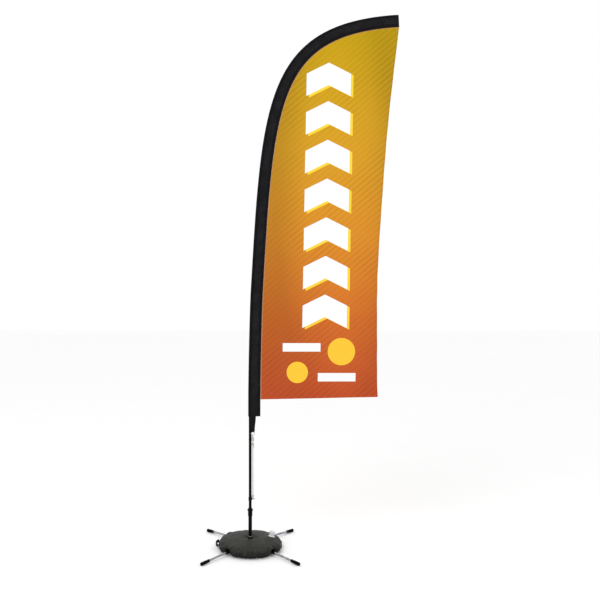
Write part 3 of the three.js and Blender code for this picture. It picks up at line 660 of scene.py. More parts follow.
def bag_cloth():
    """Coated bag cloth: a coarse square weave under a dull coating, with dust in the folds, and painted light that
    makes the top lighter than the lower sides.
    """
    look = Look("bag_cloth", Specular_IOR_Level=0.11)
    weave = look.weave(look.x, look.y, 0.0016)
    cloudy = look.noise(9, 6)
    dust = look.patches(34, 6, 0.48, 0.78)
    # painted light and shade: the tone grows lighter with height, so the top looks lit and the lower sides shaded
    high = look.step(look.z, 0.012, 0.078)
    tone = look.mixed(high, srgb(24, 24, 24), srgb(43, 43, 39))
    tone = look.mixed(look.step(cloudy, 0.35, 0.7), tone, look.scaled(tone, 1.25))
    tone = look.over(dust, 0.18, tone, srgb(92, 89, 82))
    look.give(Base_Color=look.scaled(tone, look.line(weave, 0.16, 0.92)))
    look.roughness(cloudy, 0.22, 0.40)
    look.bump(look.noise(26, 5), 0.003, 0.25)
    look.bump(weave, 0.0004, 0.6)
    return look.material


def cap_plastic():
    look = Look("cap_plastic", Specular_IOR_Level=0.4)
    cloudy = look.noise(60, 4)
    dust = look.patches(130, 6, 0.55, 0.8)
    colour = look.mixed(cloudy, srgb(206, 206, 212), srgb(226, 226, 231))
    look.give(Base_Color=look.over(dust, 0.4, colour, srgb(178, 174, 166)))
    look.roughness(cloudy, 0.16, 0.28)
    look.bump(look.noise(900, 2), 0.0001, 0.3)
    return look.material


def thread(name, colour):
    """Twisted sewing thread."""
    look = Look(name, Sheen_Weight=0.3, Specular_IOR_Level=0.3)
    strands = look.noise(2500, 2)
    look.give(Base_Color=look.scaled(colour, look.line(strands, 0.5, 0.75)))
    look.roughness(strands, 0.2, 0.6)
    look.bump(strands, 0.0001, 0.5)
    return look.material


def make_looks():
    makers = (hub_metal, steel, chrome, rubber, black_plastic, pole_composite, sleeve_cloth,
              panel_cloth, webbing, cord_cloth, bag_cloth, cap_plastic)
    looks = {maker.__name__: maker() for maker in makers}
    looks["dark_thread"] = thread("dark_thread", srgb(30, 29, 32))
    looks["panel_thread"] = thread("panel_thread", srgb(214, 150, 70))
    return looks


looks = make_looks()


def finish_piece(piece, body, look, *nodes, slot=None):
    """Gives the piece its material and its body, and hides the CAD nodes that it stands for. slot is not used."""
    piece.data.materials.clear()
    piece.data.materials.append(looks[look])
    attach(piece, body)
    if nodes:
        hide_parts(*nodes)
    return piece


def even_shading(piece):
    """Keeps flats flat beside the small rounded edges of a hard piece."""
    modifier = piece.modifiers.new("even_shading", "WEIGHTED_NORMAL")
    modifier.keep_sharp = True


def finish_hard(piece, body, look, *nodes):
    even_shading(piece)
    return finish_piece(piece, body, look, *nodes)


def make_turned(name, profile, corner, body, look, node, place=Matrix(), segments=96,
                steps=3, shaped=None):
    """A hard turned piece with its corners rounded."""
    outline = rounded(profile, corner, steps)
    finish_hard(turned(name, outline, place, segments, shaped), body, look, node)


# ---------------------------------------------------------------- camera, floor and light

CAMERA_PLACE = (0, -4.8, 1.8)
SENSOR_WIDTH = 36  # mm, as the lens
LENS = 37.5
CAMERA_SHIFT = (0.083, 0.022)  # the pole stands left of the picture's middle
FLOOR_HALF = 60
SOFTBOX_PLACE = Vector((-3.0, -4.5, 6.0))
SOFTBOX_AIM = Vector((0.3, 0, 1.6))
SOFTBOX_SIZE = 4.0
SOFTBOX_WATTS = 90


def make_camera():
    data = bpy.data.cameras.new("front_view")
    data.sensor_width = SENSOR_WIDTH
    data.lens = LENS
    data.shift_x, data.shift_y = CAMERA_SHIFT
    camera = bpy.data.objects.new("front_view", data)
    camera.location = CAMERA_PLACE
    camera.rotation_euler = (pi / 2, 0, 0)
    bpy.context.scene.collection.objects.link(camera)
    bpy.context.scene.camera = camera


def floor_look():
    look = Look("floor_look", Roughness=0.85, Specular_IOR_Level=0.15)
    look.give(Base_Color=look.mixed(look.noise(1.5, 4), srgb(251, 251, 251), srgb(253, 253, 253)))
    look.bump(look.noise(180, 3), 0.0003, 0.2)
    return look.material


def make_stage():
    signs = ((-1, -1), (1, -1), (1, 1), (-1, 1))
    corners = [(x * FLOOR_HALF, y * FLOOR_HALF, 0) for x, y in signs]
    floor = add_mesh("floor", corners, [(0, 1, 2, 3)])
    floor.data.materials.append(floor_look())
    scene = bpy.context.scene
    scene.view_settings.view_transform = "Standard"
    world = bpy.data.worlds.new("studio")
    world.use_nodes = True
    colour, strength = world.node_tree.nodes["Background"].inputs[:2]
    colour.default_value = (1, 1, 1, 1)
    strength.default_value = 1.0
    scene.world = world
    make_softbox()


def make_softbox():
    lamp = bpy.data.lights.new("softbox", "AREA")
    lamp.shape = "DISK"
    lamp.size = SOFTBOX_SIZE
    lamp.energy = SOFTBOX_WATTS
    softbox = bpy.data.objects.new("softbox", lamp)
    softbox.location = SOFTBOX_PLACE
    aim = SOFTBOX_AIM - SOFTBOX_PLACE
    softbox.rotation_euler = aim.to_track_quat("-Z", "Y").to_euler()
    bpy.context.scene.collection.objects.link(softbox)


# ---------------------------------------------------------------- cord, hook, ring and strap

strap_frame = Matrix.Rotation(FLANK_TURN, 4, "Z")
ring_centre = strap_frame @ Vector((STRAP_MIDDLE, -EYE_SETBACK, RING_CENTRE_HEIGHT))
ring_foot = ring_centre - upwards(EYE_RADIUS)
CORD_DROP = 0.0065  # from the ring's foot down to the cord's end
CORD_LIFT = 0.010  # from the peg up to the cord's lower end
CORD_BEND = 0.775  # the height where the cord turns towards the peg
STRAND = 0.0028  # radius of the cord where it is stretched round a knot
BIGHT_DEPTH = 0.012  # how far the bight hangs below the ring
WHIPPING_DROP = 0.014  # from the ring's foot to the whipping's top
WHIPPING_LENGTH = 0.030
STOPPER_DROP = 0.046  # from the whipping's top to the stopper's top
STOPPER_LENGTH = 0.016
TUCK = 0.45  # how far the ends of a whipping sink in, as a share of its radius


def wraps(name, start, end, radius, turns, strand=STRAND):
    """Turns of cord wound round the cord from start to end."""
    along = (end - start).normalized()
    side = along.orthogonal().normalized()
    up = along.cross(side)
    steps = int(turns * 16)
    path = []
    for i in range(steps + 1):
        share = i / steps
        tuck = TUCK * (smoothstep(share, 0.06, 0) + smoothstep(share, 0.94, 1))
        wide = radius * (1 - tuck)
        angle = tau * turns * share
        path.append(start.lerp(end, share) + side * (wide * cos(angle)) + up * (wide * sin(angle)))
    return tube(name, path, strand, sides=10)


def make_cord():
    """One elastic cord, pulled straight from the ring to the peg, with a knot at each end."""
    top = ring_foot - upwards(CORD_DROP)
    bend = Vector((ring_centre.x, ring_centre.y, CORD_BEND))
    foot = Vector((KNOT_X, 0, HOOK_HEIGHT + CORD_LIFT))
    path = [top.lerp(bend, t) for t in spread(0, 1, 8)]
    path += [bend.lerp(foot, t) for t in spread(0, 1, 24)[1:]]
    cord = tube("tension_cord_line", path, CORD_RADIUS, sides=20)
    finish_piece(cord, "flagpole", "cord_cloth", "tension_cord")
    upper = make_upper_knot(bend)
    lower = make_lower_knot(foot)


def make_upper_knot(bend):
    """The cord's bight goes through the ring and is whipped with its own end."""
    normal = strap_frame @ Vector((0, 1, 0))
    over = WIRE_RADIUS + STRAND
    bight = []
    for angle in spread(-0.5 * pi, 1.5 * pi, 28)[2:-2]:
        height = (over if sin(angle) > 0 else BIGHT_DEPTH) * sin(angle)
        bight.append(ring_foot + normal * (over * cos(angle)) + upwards(height))
    pieces = [tube("bight", bight, STRAND, sides=10)]
    top = Vector((bend.x, bend.y, ring_foot.z - WHIPPING_DROP))
    pieces.append(wraps("whipping", top, top - upwards(WHIPPING_LENGTH), radius=0.0058, turns=5))
    low = top - upwards(STOPPER_DROP)
    pieces.append(wraps("stopper", low, low - upwards(STOPPER_LENGTH), radius=0.0060, turns=2.6,
                        strand=0.0031))
    hanging = ((0.004, -0.003, -0.006), (0.007, -0.006, -0.014),
               (0.0075, -0.0075, -0.024), (0.0065, -0.008, -0.032))
    tail = [low + Vector(shift) for shift in hanging]
    pieces.append(tube("tail", tail, lambda t: STRAND * (1 - 0.25 * t), sides=10))
    return finish_piece(joined("upper_knot", pieces), "flagpole", "cord_cloth", "cord_knot_upper")


def make_lower_knot(foot):
    """A loop round the peg, and a whipping above it."""
    middle = Vector((KNOT_X, 0, HOOK_HEIGHT))
    radius = PEG_RADIUS + STRAND + 0.0003
    loop = [middle + Vector((0, radius * cos(a), radius * sin(a))) for a in circle(28)]
    pieces = [tube("loop", loop, STRAND, sides=10, closed=True)]
    start = foot + upwards(0.001)
    end = start + upwards(STOPPER_LENGTH)
    pieces.append(wraps("lower_whipping", start, end, radius=0.0056, turns=2.8))
    return finish_piece(joined("lower_knot", pieces), "flagpole", "cord_cloth", "cord_knot_lower")


def make_ring():
    wire = []
    for angle in circle(64):
        local = Vector((STRAP_MIDDLE, -EYE_SETBACK, RING_CENTRE_HEIGHT))
        local += Vector((EYE_RADIUS * cos(angle), 0, EYE_RADIUS * sin(angle)))
        wire.append(strap_frame @ local)
    ring = tube("strap_ring_wire", wire, WIRE_RADIUS, sides=20, closed=True)
    finish_piece(ring, "flagpole", "steel", "strap_ring")


def tape_place(width, last, reach):
    """flat(i, j) for a tape whose sections run along its front and back again."""
    def flat(i, j):
        column = max(min(j, 2 * last + 1 - j), 0)
        return (width * column / last, reach[i])
    return flat


def strap_line():
    """The tape's middle as (setback, height): down, round the ring's wire and up in front."""
    fold = STRAP_THICKNESS / 2 + WIRE_RADIUS + 0.0002
    top_of_wire = RING_CENTRE_HEIGHT + EYE_RADIUS
    line = [(STRAP_SETBACK, z) for z in spread(STRAP_TOP, STRAP_BEND, 12)]
    line += [(mix(STRAP_SETBACK, EYE_SETBACK - fold, t), mix(STRAP_BEND, top_of_wire, t))
             for t in spread(0, 1, 6)[1:]]
    for angle in spread(0, pi, 10)[1:]:
        line.append((EYE_SETBACK - fold * cos(angle), top_of_wire - fold * sin(angle)))
    front = STRAP_SETBACK + STRAP_THICKNESS + 0.0002
    line += [(mix(EYE_SETBACK + fold, front, smoothstep(t, 0, 1)), mix(top_of_wire, FOLDED_LOW, t))
             for t in spread(0, 1, 8)[1:]]
    line += [(front, z) for z in spread(FOLDED_LOW, FOLDED_HIGH, 6)[1:]]
    return line


def strap_half_width(height):
    """Wide at the sleeve, narrower below, and gathered where it goes through the ring."""
    wide = mix(STRAP_LOW_WIDTH / 2, STRAP_TOP_WIDTH / 2, smoothstep(height, 0.90, SLEEVE_BOTTOM))
    return mix(STRAP_GATHERED_WIDTH / 2, wide, smoothstep(height, 0.886, 0.908))


def make_strap():
    line = strap_line()
    columns = spread(-1, 1, 12)
    rings, reach = [], [0.0]
    for i, (setback, height) in enumerate(line):
        before, after = line[max(i - 1, 0)], line[min(i + 1, len(line) - 1)]
        along = Vector((0, before[0] - after[0], after[1] - before[1])).normalized()
        out = Vector((1, 0, 0)).cross(along) * (STRAP_THICKNESS / 2)
        half = strap_half_width(height)
        curl = smoothstep(height, 0.915, 0.893)
        middle = Vector((STRAP_MIDDLE, -setback, height))
        row = []
        for share in columns:
            x = half * share
            drop = (sqrt(EYE_RADIUS**2 - min(abs(x), EYE_RADIUS)**2) - EYE_RADIUS) * curl
            row.append(middle + Vector((x, 0.0004 * cos(9 * share) * curl, drop)))
        front = [p + out for p in row]
        back = [p - out for p in reversed(row)]
        rings.append([strap_frame @ p for p in front + back])
        step = hypot(after[0] - setback, after[1] - height)
        reach.append(reach[-1] + step)
    flat = tape_place(STRAP_LOW_WIDTH, len(columns) - 1, reach)
    strap = lofted("tension_strap_tape", rings, flat)
    finish_piece(strap, "flagpole", "webbing", "tension_strap")
    make_strap_stitches()


def make_strap_stitches():
    """A square of stitches with a cross in it holds the folded tape."""
    low, high, half = 0.926, 0.964, 0.0105
    face = STRAP_SETBACK + 1.5 * STRAP_THICKNESS + 0.0003
    corners = [(-half, low), (half, low), (half, high), (-half, high), (-half, low),
               (half, high), (-half, high), (half, low)]
    places = [strap_frame @ Vector((STRAP_MIDDLE + x, -face, z)) for x, z in corners]
    out = strap_frame @ Vector((0, -1, 0))
    lines = [add_stitches("seam", [(a, out), (b, out)], pitch=0.0028, length=0.0021, thread=0.00035)
             for a, b in zip(places, places[1:])]
    finish_piece(joined("strap_stitches", lines), "flagpole", "dark_thread", slot="webbing")


def make_hook():
    """A band clipped round the pole, with a peg that has a rounded head."""
    inner = POLE_RADIUS + 0.0003
    outer = inner + 0.0026
    low, high = HOOK_HEIGHT - 0.012, HOOK_HEIGHT + 0.012
    band = [(inner, low), (outer, low), (outer, low + 0.003), (outer - 0.0007, low + 0.004),
            (outer - 0.0007, high - 0.004), (outer, high - 0.003), (outer, high), (inner, high)]
    pieces = [turned("hook_band", rounded(band, 0.0005), segments=72)]
    out = Matrix.Translation((0, 0, HOOK_HEIGHT)) @ Matrix.Rotation(pi / 2, 4, "Y")
    start, neck, end = inner + 0.0008, inner + 0.0195, inner + 0.0225
    peg = [(0, start), (0.0050, start), (0.0034, start + 0.0035), (PEG_RADIUS, start + 0.006),
           (PEG_RADIUS, neck), (0.0046, neck + 0.0006), (0.0046, end - 0.0008), (0.0030, end),
           (0, end)]
    pieces.append(turned("hook_peg", rounded(peg, 0.0006), out, 32))
    finish_hard(joined("cord_hook_body", pieces), "flagpole", "black_plastic", "cord_hook")


# ---------------------------------------------------------------- base, legs and rotator

LEG_SLOPE = asin(PIVOT_HEIGHT / hypot(LEG_LENGTH, FOOT_RADIUS)) - atan(FOOT_RADIUS / LEG_LENGTH)


def leg_frame(name):
    """The leg's own frame, with +X along the leg from its pivot."""
    pivot = Vector(joints["fold_" + name]["pos_m"])
    turn = Matrix.Rotation(radians(LEG_AZIMUTHS[name]), 4, "Z")
    return Matrix.Translation(pivot) @ turn @ Matrix.Rotation(LEG_SLOPE, 4, "Y")


PRESSED_END = 0.026  # along the leg: flat up to here, and round from ROUND_START on
ROUND_START = 0.046
PRESSED_POWER = 5  # how square the section is
ROUND_POWER = 2


def signed_power(value, power):
    return abs(value) ** power * (1 if value > 0 else -1)


def socket_rings(place):
    """A tube that is pressed flat at the pivot, with a rolled lip at its mouth."""
    sections = []
    for x in (-0.0090, -0.0086, -0.0075, -0.0055, -0.003, 0, 0.008, 0.018, PRESSED_END):
        height = sqrt(max(TONGUE_RADIUS**2 - min(x, 0)**2, 0)) if x < 0 else TONGUE_RADIUS
        sections.append((x, max(height, 0.0005), TONGUE_HALF, PRESSED_POWER))
    for t in spread(0, 1, 8)[1:]:
        ease = smoothstep(t, 0, 1)
        sections.append((mix(PRESSED_END, ROUND_START, t), mix(TONGUE_RADIUS, SOCKET_RADIUS, ease),
                         mix(TONGUE_HALF, SOCKET_RADIUS, ease),
                         mix(PRESSED_POWER, ROUND_POWER, ease)))
    lip = SOCKET_RADIUS + 0.0006
    for x, radius in ((0.120, SOCKET_RADIUS), (SOCKET_END - 0.0055, SOCKET_RADIUS),
                      (SOCKET_END - 0.0045, lip), (SOCKET_END - 0.001, lip),
                      (SOCKET_END, lip - 0.001), (SOCKET_END, LEG_TUBE_RADIUS + 0.0004),
                      (SOCKET_END - 0.012, LEG_TUBE_RADIUS + 0.0003)):
        sections.append((x, radius, radius, ROUND_POWER))
    rings = []
    for x, height, half, power in sections:
        ring = []
        for angle in circle(40):
            y = half * signed_power(cos(angle), 2 / power)
            z = height * signed_power(sin(angle), 2 / power)
            ring.append(place @ Vector((x, y, z)))
        rings.append(ring)
    return rings


def ribbed_foot():
    """Profile of a foot cap: a lip, a plain neck, five grooves and a rounded end."""
    start = LEG_LENGTH - FOOT_LENGTH
    bore = LEG_TUBE_RADIUS + 0.0003
    profile = [(bore, start), (FOOT_RADIUS - 0.0008, start), (FOOT_RADIUS - 0.0004, start + 0.004),
               (FOOT_RADIUS - 0.0012, start + 0.005), (FOOT_RADIUS - 0.0012, start + 0.026)]
    groove, pitch = 0.0011, 0.0066
    for i in range(6):
        at = start + 0.028 + i * pitch
        profile += [(FOOT_RADIUS - groove, at), (FOOT_RADIUS, at + 0.0012),
                    (FOOT_RADIUS, at + pitch - 0.0020), (FOOT_RADIUS - groove, at + pitch - 0.0010)]
    profile += [(FOOT_RADIUS, LEG_LENGTH - 0.007), (FOOT_RADIUS, LEG_LENGTH - 0.002),
                (FOOT_RADIUS - 0.002, LEG_LENGTH), (0, LEG_LENGTH), (0, LEG_LENGTH - 0.006),
                (bore, LEG_LENGTH - 0.006)]
    return profile


def make_leg(name):
    body = "leg_" + name
    place = leg_frame(name)
    turn = place @ Matrix.Rotation(pi / 2, 4, "Y")
    socket = lofted("socket_" + name, socket_rings(place))
    finish_hard(socket, body, "hub_metal", "leg_socket_" + name)
    wall = LEG_TUBE_RADIUS - 0.0012
    start, end = SOCKET_END - 0.060, LEG_LENGTH - 0.0063
    profile = [(wall, start), (LEG_TUBE_RADIUS, start), (LEG_TUBE_RADIUS, end), (wall, end)]
    make_turned("chrome_tube_" + name, profile, 0.0004, body, "chrome", "leg_tube_" + name, turn, 48)
    make_turned("foot_" + name, ribbed_foot(), 0.0008, body, "rubber", "foot_cap_" + name, turn, 64,
                steps=2)
    make_pin(name)


def make_pin(name):
    """A rivet with domed heads, across the fork."""
    head = PIN_RADIUS + 0.0025
    end = PIN_REACH + 0.0025
    rim = PIN_REACH + 0.0010
    profile = [(0, -end), (head - 0.0025, -end), (head, -rim), (head, -PIN_REACH),
               (PIN_RADIUS, -PIN_REACH), (PIN_RADIUS, PIN_REACH), (head, PIN_REACH), (head, rim),
               (head - 0.0025, end), (0, end)]
    place = leg_frame(name) @ Matrix.Rotation(pi / 2, 4, "X")
    make_turned("pin_" + name, profile, 0.0008, "base", "steel", "leg_pin_" + name, place, 40)


def make_spindle_collar():
    neck = 0.014
    foot = HUB_HEIGHT + 0.0003
    profile = [(SPINDLE_BORE, foot), (neck, foot), (neck, foot + 0.004), (neck - 0.0012, foot + 0.005),
               (neck - 0.0012, RING_BOTTOM - 0.003), (neck, RING_BOTTOM), (RING_RADIUS, RING_BOTTOM),
               (RING_RADIUS, RING_TOP - 0.001), (RING_RADIUS - 0.0015, RING_TOP),
               (SPINDLE_BORE, RING_TOP)]
    make_turned("silver_ring", profile, 0.0006, "base", "chrome", "spindle_collar")


def make_rotator():
    low, high = RING_TOP + 0.0005, COLLAR_STEP - 0.0003
    bead = ROTATOR_RADIUS + 0.0008
    profile = [(ROTATOR_BORE, low), (ROTATOR_RADIUS, low), (bead, low + 0.0015), (bead, low + 0.005),
               (ROTATOR_RADIUS, low + 0.0065), (ROTATOR_RADIUS, high), (ROTATOR_BORE, high)]
    make_turned("rotator_barrel", profile, 0.0006, "rotator", "hub_metal", "rotator_tube")
    make_rotator_collar()


def make_rotator_collar():
    """The collar round the pole's foot: grooved grips below and a flange near its top."""
    around_tube = ROTATOR_RADIUS + 0.0003
    around_pole = POLE_RADIUS + 0.0004
    rim = 0.015
    profile = [(around_tube, COLLAR_BOTTOM), (COLLAR_RADIUS - 0.001, COLLAR_BOTTOM),
               (COLLAR_RADIUS, COLLAR_BOTTOM + 0.002), (COLLAR_RADIUS, COLLAR_TOP - 0.026),
               (COLLAR_RADIUS + 0.0012, COLLAR_TOP - 0.022), (FLANGE_RADIUS, COLLAR_TOP - 0.014),
               (FLANGE_RADIUS, COLLAR_TOP - 0.011), (rim + 0.002, COLLAR_TOP - 0.007),
               (rim, COLLAR_TOP - 0.003), (rim, COLLAR_TOP), (around_pole, COLLAR_TOP),
               (around_pole, COLLAR_STEP), (around_tube, COLLAR_STEP)]
    grips = 24
    groove = 0.0007
    grip_low = COLLAR_BOTTOM + 0.006
    grip_high = COLLAR_TOP - 0.028

    def grooved(radius, height, azimuth):
        if not grip_low < height < grip_high or radius < COLLAR_RADIUS - 0.0005:
            return radius
        return radius - groove * max(0.0, cos(grips * azimuth)) ** 2

    fine = []
    for a, b in zip(profile, profile[1:] + profile[:1]):
        fine.append(a)
        if abs(b[1] - a[1]) > 0.02 and a[0] > COLLAR_RADIUS - 0.0005:
            fine += [(mix(a[0], b[0], t), mix(a[1], b[1], t)) for t in (0.11, 0.13, 0.87, 0.89)]
    make_turned("collar", fine, 0.0005, "rotator", "black_plastic", "rotator_collar", segments=192,
                steps=2, shaped=grooved)


def make_lower_pole():
    """The pole's lowest section, which shows between the collar and the sleeve."""
    stations = spread(0, 0.880, 10) + spread(0.880, SECTION_END, 20)[1:]
    sides = 64
    rings = []
    for radius, order in ((POLE_RADIUS, stations), (POLE_BORE, stations[::-1])):
        for distance in order:
            point, _, across = spine.at(distance)
            rings.append([point + across * (radius * cos(a)) + Vector((0, radius * sin(a), 0))
                          for a in circle(sides)])
    pole = lofted("lower_pole", rings, joins_itself=True)
    finish_hard(pole, "flagpole", "pole_composite", "pole_section_1")


# ---------------------------------------------------------------- sleeve and panel

SLEEVE_FROM = SLEEVE_BOTTOM - POLE_FOOT
FLANGE = 0.018  # width of the sewn edge beside the panel
SLEEVE_PLAN = [0.0, 0.04, 0.12, 0.24, 0.38, 0.52, 0.64, 0.72, 0.765, 0.775, 0.82, 0.90, 0.96, 1.0]
NOSE_STEPS = 8
NOSE_STRETCH = 0.2  # how much of the nose counts in the cloth's pattern
TOP_ROUND = 0.032  # the sleeve narrows over this length at its closed end
TOP_SHUT = 0.72  # share of its thickness that it loses there
NARROW = 0.08  # a panel row under this width squeezes its columns
SQUEEZED_WIDTH = 0.0625
MIDDLE_COLUMNS = 44
MIDDLE_NARROW = [mix(0.50, 0.72, (i + 1) / MIDDLE_COLUMNS) for i in range(MIDDLE_COLUMNS - 1)]


def sleeve_closing(distance):
    """How open the sleeve is: 1, and less at its closed top end."""
    return 1 - TOP_SHUT * smoothstep(distance, spine.length - TOP_ROUND, spine.length)


def sleeve_half(reach, distance):
    """Half the sleeve's thickness at a distance across from the pole's axis."""
    t = reach / SEAM_REACH
    half = mix(SLEEVE_NOSE, 0.0016, t ** 0.94)
    step = smoothstep(reach, SEAM_REACH - FLANGE - 0.0008, SEAM_REACH - FLANGE + 0.0004)
    return (half + 0.0006 * step * (1 - t)) * sleeve_closing(distance)


def sleeve_pucker(reach, distance, side):
    """Gathers beside the seam and slack wrinkles on the inside of the bow."""
    t = reach / SEAM_REACH
    bow = smoothstep(distance, 1.6, 3.2)
    near_seam = exp(-((SEAM_REACH - FLANGE - reach) / 0.016) ** 2)
    gather = 0.0011 * near_seam * sin(tau * distance / 0.031 + 2.5 * wander(distance * 9, side))
    slack = 0.0016 * bow * 4 * t * (1 - t)
    slack *= wander(distance * 16 + 7 * side, 2.0 * t, 3.1 * side)
    broad = 0.0012 * t * wander(distance * 4.5, t, 8.0 + side)
    return gather + slack + broad


def sleeve_ring(distance, inner):
    """One section of the sleeve: round the nose, along one flank to the seam, and back."""
    point, _, across = spine.at(distance)
    wall = 0.0011 if inner else 0.0
    last = SEAM_REACH - FLANGE - 0.003 if inner else SEAM_REACH
    closing = sleeve_closing(distance)
    nose = SLEEVE_NOSE - wall
    half = []
    for angle in spread(pi, pi / 2, NOSE_STEPS)[:-1]:
        half.append((nose * cos(angle), nose * sin(angle) * closing))
    for share in SLEEVE_PLAN:
        reach = last * share
        half.append((reach, max(sleeve_half(reach, distance) - wall, 0.0004)))
    ring = []
    for side, line in ((1, half), (-1, half[:0:-1])):
        for reach, thick in line:
            move = sleeve_pucker(max(reach, 0), distance, side) if reach > 0 else 0
            ring.append(point + across * reach + Vector((0, side * max(thick + move, 0.0004), 0)))
    return ring


def sleeve_flat(i, j, count, stations):
    """Distance across from the nose, and distance along."""
    points = NOSE_STEPS + len(SLEEVE_PLAN)
    place = j % count
    place = place if place < points else count - place
    if place < NOSE_STEPS:
        across = -SLEEVE_NOSE * (1 - place / NOSE_STEPS) * NOSE_STRETCH
    else:
        across = SEAM_REACH * SLEEVE_PLAN[place - NOSE_STEPS]
    return (across + 0.002, stations[i % len(stations)])


def make_sleeve():
    straight = spread(SLEEVE_FROM, SLEEVE_FROM + 0.012, 4)
    outside = straight + spread(SLEEVE_FROM + 0.012, spine.length - 0.040, 330)[1:]
    outside += spread(spine.length - 0.040, spine.length, 8)[1:]
    inside = [s for s in outside if s < spine.length - 0.020]
    rings = [sleeve_ring(distance, True) for distance in reversed(inside)]
    rings += [sleeve_ring(distance, False) for distance in outside]
    stations = inside[::-1] + outside
    count = len(rings[0])
    sleeve = lofted("sleeve", rings, lambda i, j: sleeve_flat(i, j, count, stations))
    finish_piece(sleeve, "flagpole", "sleeve_cloth", "pole_sleeve")
    stitches = make_sleeve_stitches()


def make_sleeve_stitches():
    """Two rows on each side of the sewn edge."""
    lines = []
    for side in (1, -1):
        for reach in (SEAM_REACH - FLANGE + 0.003, SEAM_REACH - 0.005):
            line = []
            for distance in spread(SLEEVE_FROM + 0.004, spine.length - 0.003, 500):
                point, _, across = spine.at(distance)
                thick = sleeve_half(reach, distance) + sleeve_pucker(reach, distance, side)
                place = point + across * reach + Vector((0, side * max(thick, 0.0004), 0))
                line.append((place, Vector((0, side, 0))))
            lines.append(add_stitches("row", line, pitch=0.0050, length=0.0034, thread=0.00036))
    return finish_piece(joined("sleeve_stitches", lines), "flagpole", "dark_thread", slot="sleeve_cloth")


def free_edge(share):
    """The panel's free edge, from its lower corner to its peak."""
    (x0, z0), (x1, z1), (x2, z2) = PANEL_CORNER, PANEL_EDGE_PULL, PANEL_PEAK
    a, b, c = (1 - share) ** 2, 2 * share * (1 - share), share ** 2
    return Vector((a * x0 + b * x1 + c * x2, 0, a * z0 + b * z1 + c * z2))


def panel_creases(seam_distance, along, width):
    """Small folds: gathers at the sleeve, drag lines off the bow and soft waves."""
    share = seam_distance / width
    gathers = 0.0016 * exp(-seam_distance / 0.035) * sin(tau * along / 0.052 + 3 * wander(along * 5))
    drag = 0.0030 * wander(along * 3.1 + share * 2.4, share * 1.3, 4.0)
    waves = 0.0022 * wander(along * 7.5 - share * 3.0, share * 2.6, 9.0)
    edge = 0.0030 * share ** 3 * sin(tau * along / 0.31 + 2 * wander(along * 2.0, 5.0))
    held = smoothstep(seam_distance, 0, 0.04)
    return gathers * smoothstep(seam_distance, 0, 0.006) + (drag + waves + edge) * held


def panel_row(distance):
    """Where the panel's row at a distance along the spine starts and ends, and its width."""
    up = (distance - PANEL_FROM) / (spine.length - PANEL_FROM)
    point, _, across = spine.at(distance)
    seam = point + across * (SEAM_REACH + PANEL_GAP)
    free = free_edge(up)
    return up, seam, free, (free - seam).length


def panel_middle(distance, from_seam):
    """The middle of the cloth's thickness there."""
    up, seam, free, width = panel_row(distance)
    share = from_seam / width
    swing = RIPPLE * share * sqrt(max(1 - up, 0))
    flat = seam.lerp(free, share)
    flat.y = swing * sin(tau * RIPPLE_WAVES * up + RIPPLE_SLANT * share)
    flat.y += panel_creases(from_seam, distance, width) * smoothstep(width, 0.015, 0.15)
    return flat


def panel_half(from_seam, width, distance):
    """Half the cloth's thickness, which is doubled in the hems."""
    side = smoothstep(width - from_seam, HEM + 0.0006, HEM - 0.0006)
    foot = smoothstep(distance - PANEL_FROM, HEM + 0.0006, HEM - 0.0006)
    return 0.00045 + 0.00035 * max(side, foot)


def panel_columns(width):
    """Distances from the seam across the panel, closer together at the tape and at the hem."""
    ends = [0, 0.0025, 0.005, 0.010, 0.018, 0.030]
    hems = [0.0160, 0.0147, 0.0133, 0.0100, 0.0030, 0.0008, 0]
    if width < NARROW:
        ends = [x * width / SQUEEZED_WIDTH for x in ends]
        hems = [x * width / SQUEEZED_WIDTH for x in hems]
        middle = [width * t for t in MIDDLE_NARROW]
    else:
        middle = spread(ends[-1], width - hems[0], MIDDLE_COLUMNS)[1:-1]
    return ends + middle + [width - x for x in hems]


def make_panel():
    foot_hem = [PANEL_FROM + d for d in (0, 0.0008, 0.0040, 0.0100, 0.0133, 0.0147)]
    stations = foot_hem + spread(foot_hem[-1], spine.length, 250)[1:]
    rings, plans = [], []
    for distance in stations:
        width = panel_row(distance)[3]
        columns = panel_columns(width)
        front, back = [], []
        for from_seam in columns:
            middle = panel_middle(distance, from_seam)
            half = Vector((0, panel_half(from_seam, width, distance), 0))
            front.append(middle - half)
            back.append(middle + half)
        rings.append(front + back[::-1])
        plans.append([(d, width - d) for d in columns + columns[::-1]])
    count = len(rings[0])
    panel = lofted("panel", rings, lambda i, j: plans[i][j % count])
    finish_piece(panel, "flagpole", "panel_cloth", "flag_panel")
    stitches = make_panel_stitches()
    area = sum((panel_row(a)[3] + panel_row(b)[3]) / 2
               * (panel_middle(b, panel_row(b)[3] / 2) - panel_middle(a, panel_row(a)[3] / 2)).length
               for a, b in zip(stations, stations[1:]))


def make_panel_stitches():
    """One row along the free hem and one along the lower hem, on both faces."""
    lines = []
    inset = HEM - 0.003
    for side in (1, -1):
        out = Vector((0, side, 0))
        line = []
        for distance in spread(PANEL_FROM + 0.003, spine.length - 0.060, 600):
            width = panel_row(distance)[3]
            place = panel_middle(distance, width - inset)
            thick = panel_half(width - inset, width, distance)
            line.append((place + out * thick, out))
        lines.append(add_stitches("hem_row", line))
        distance = PANEL_FROM + inset
        width = panel_row(distance)[3]
        thick = panel_half(width / 2, width, distance)
        line = [(panel_middle(distance, x) + out * thick, out) for x in spread(0.004, width - 0.004, 200)]
        lines.append(add_stitches("foot_row", line))
    return finish_piece(joined("panel_stitches", lines), "flagpole", "panel_thread", slot="panel_cloth")


# ---------------------------------------------------------------- water bag

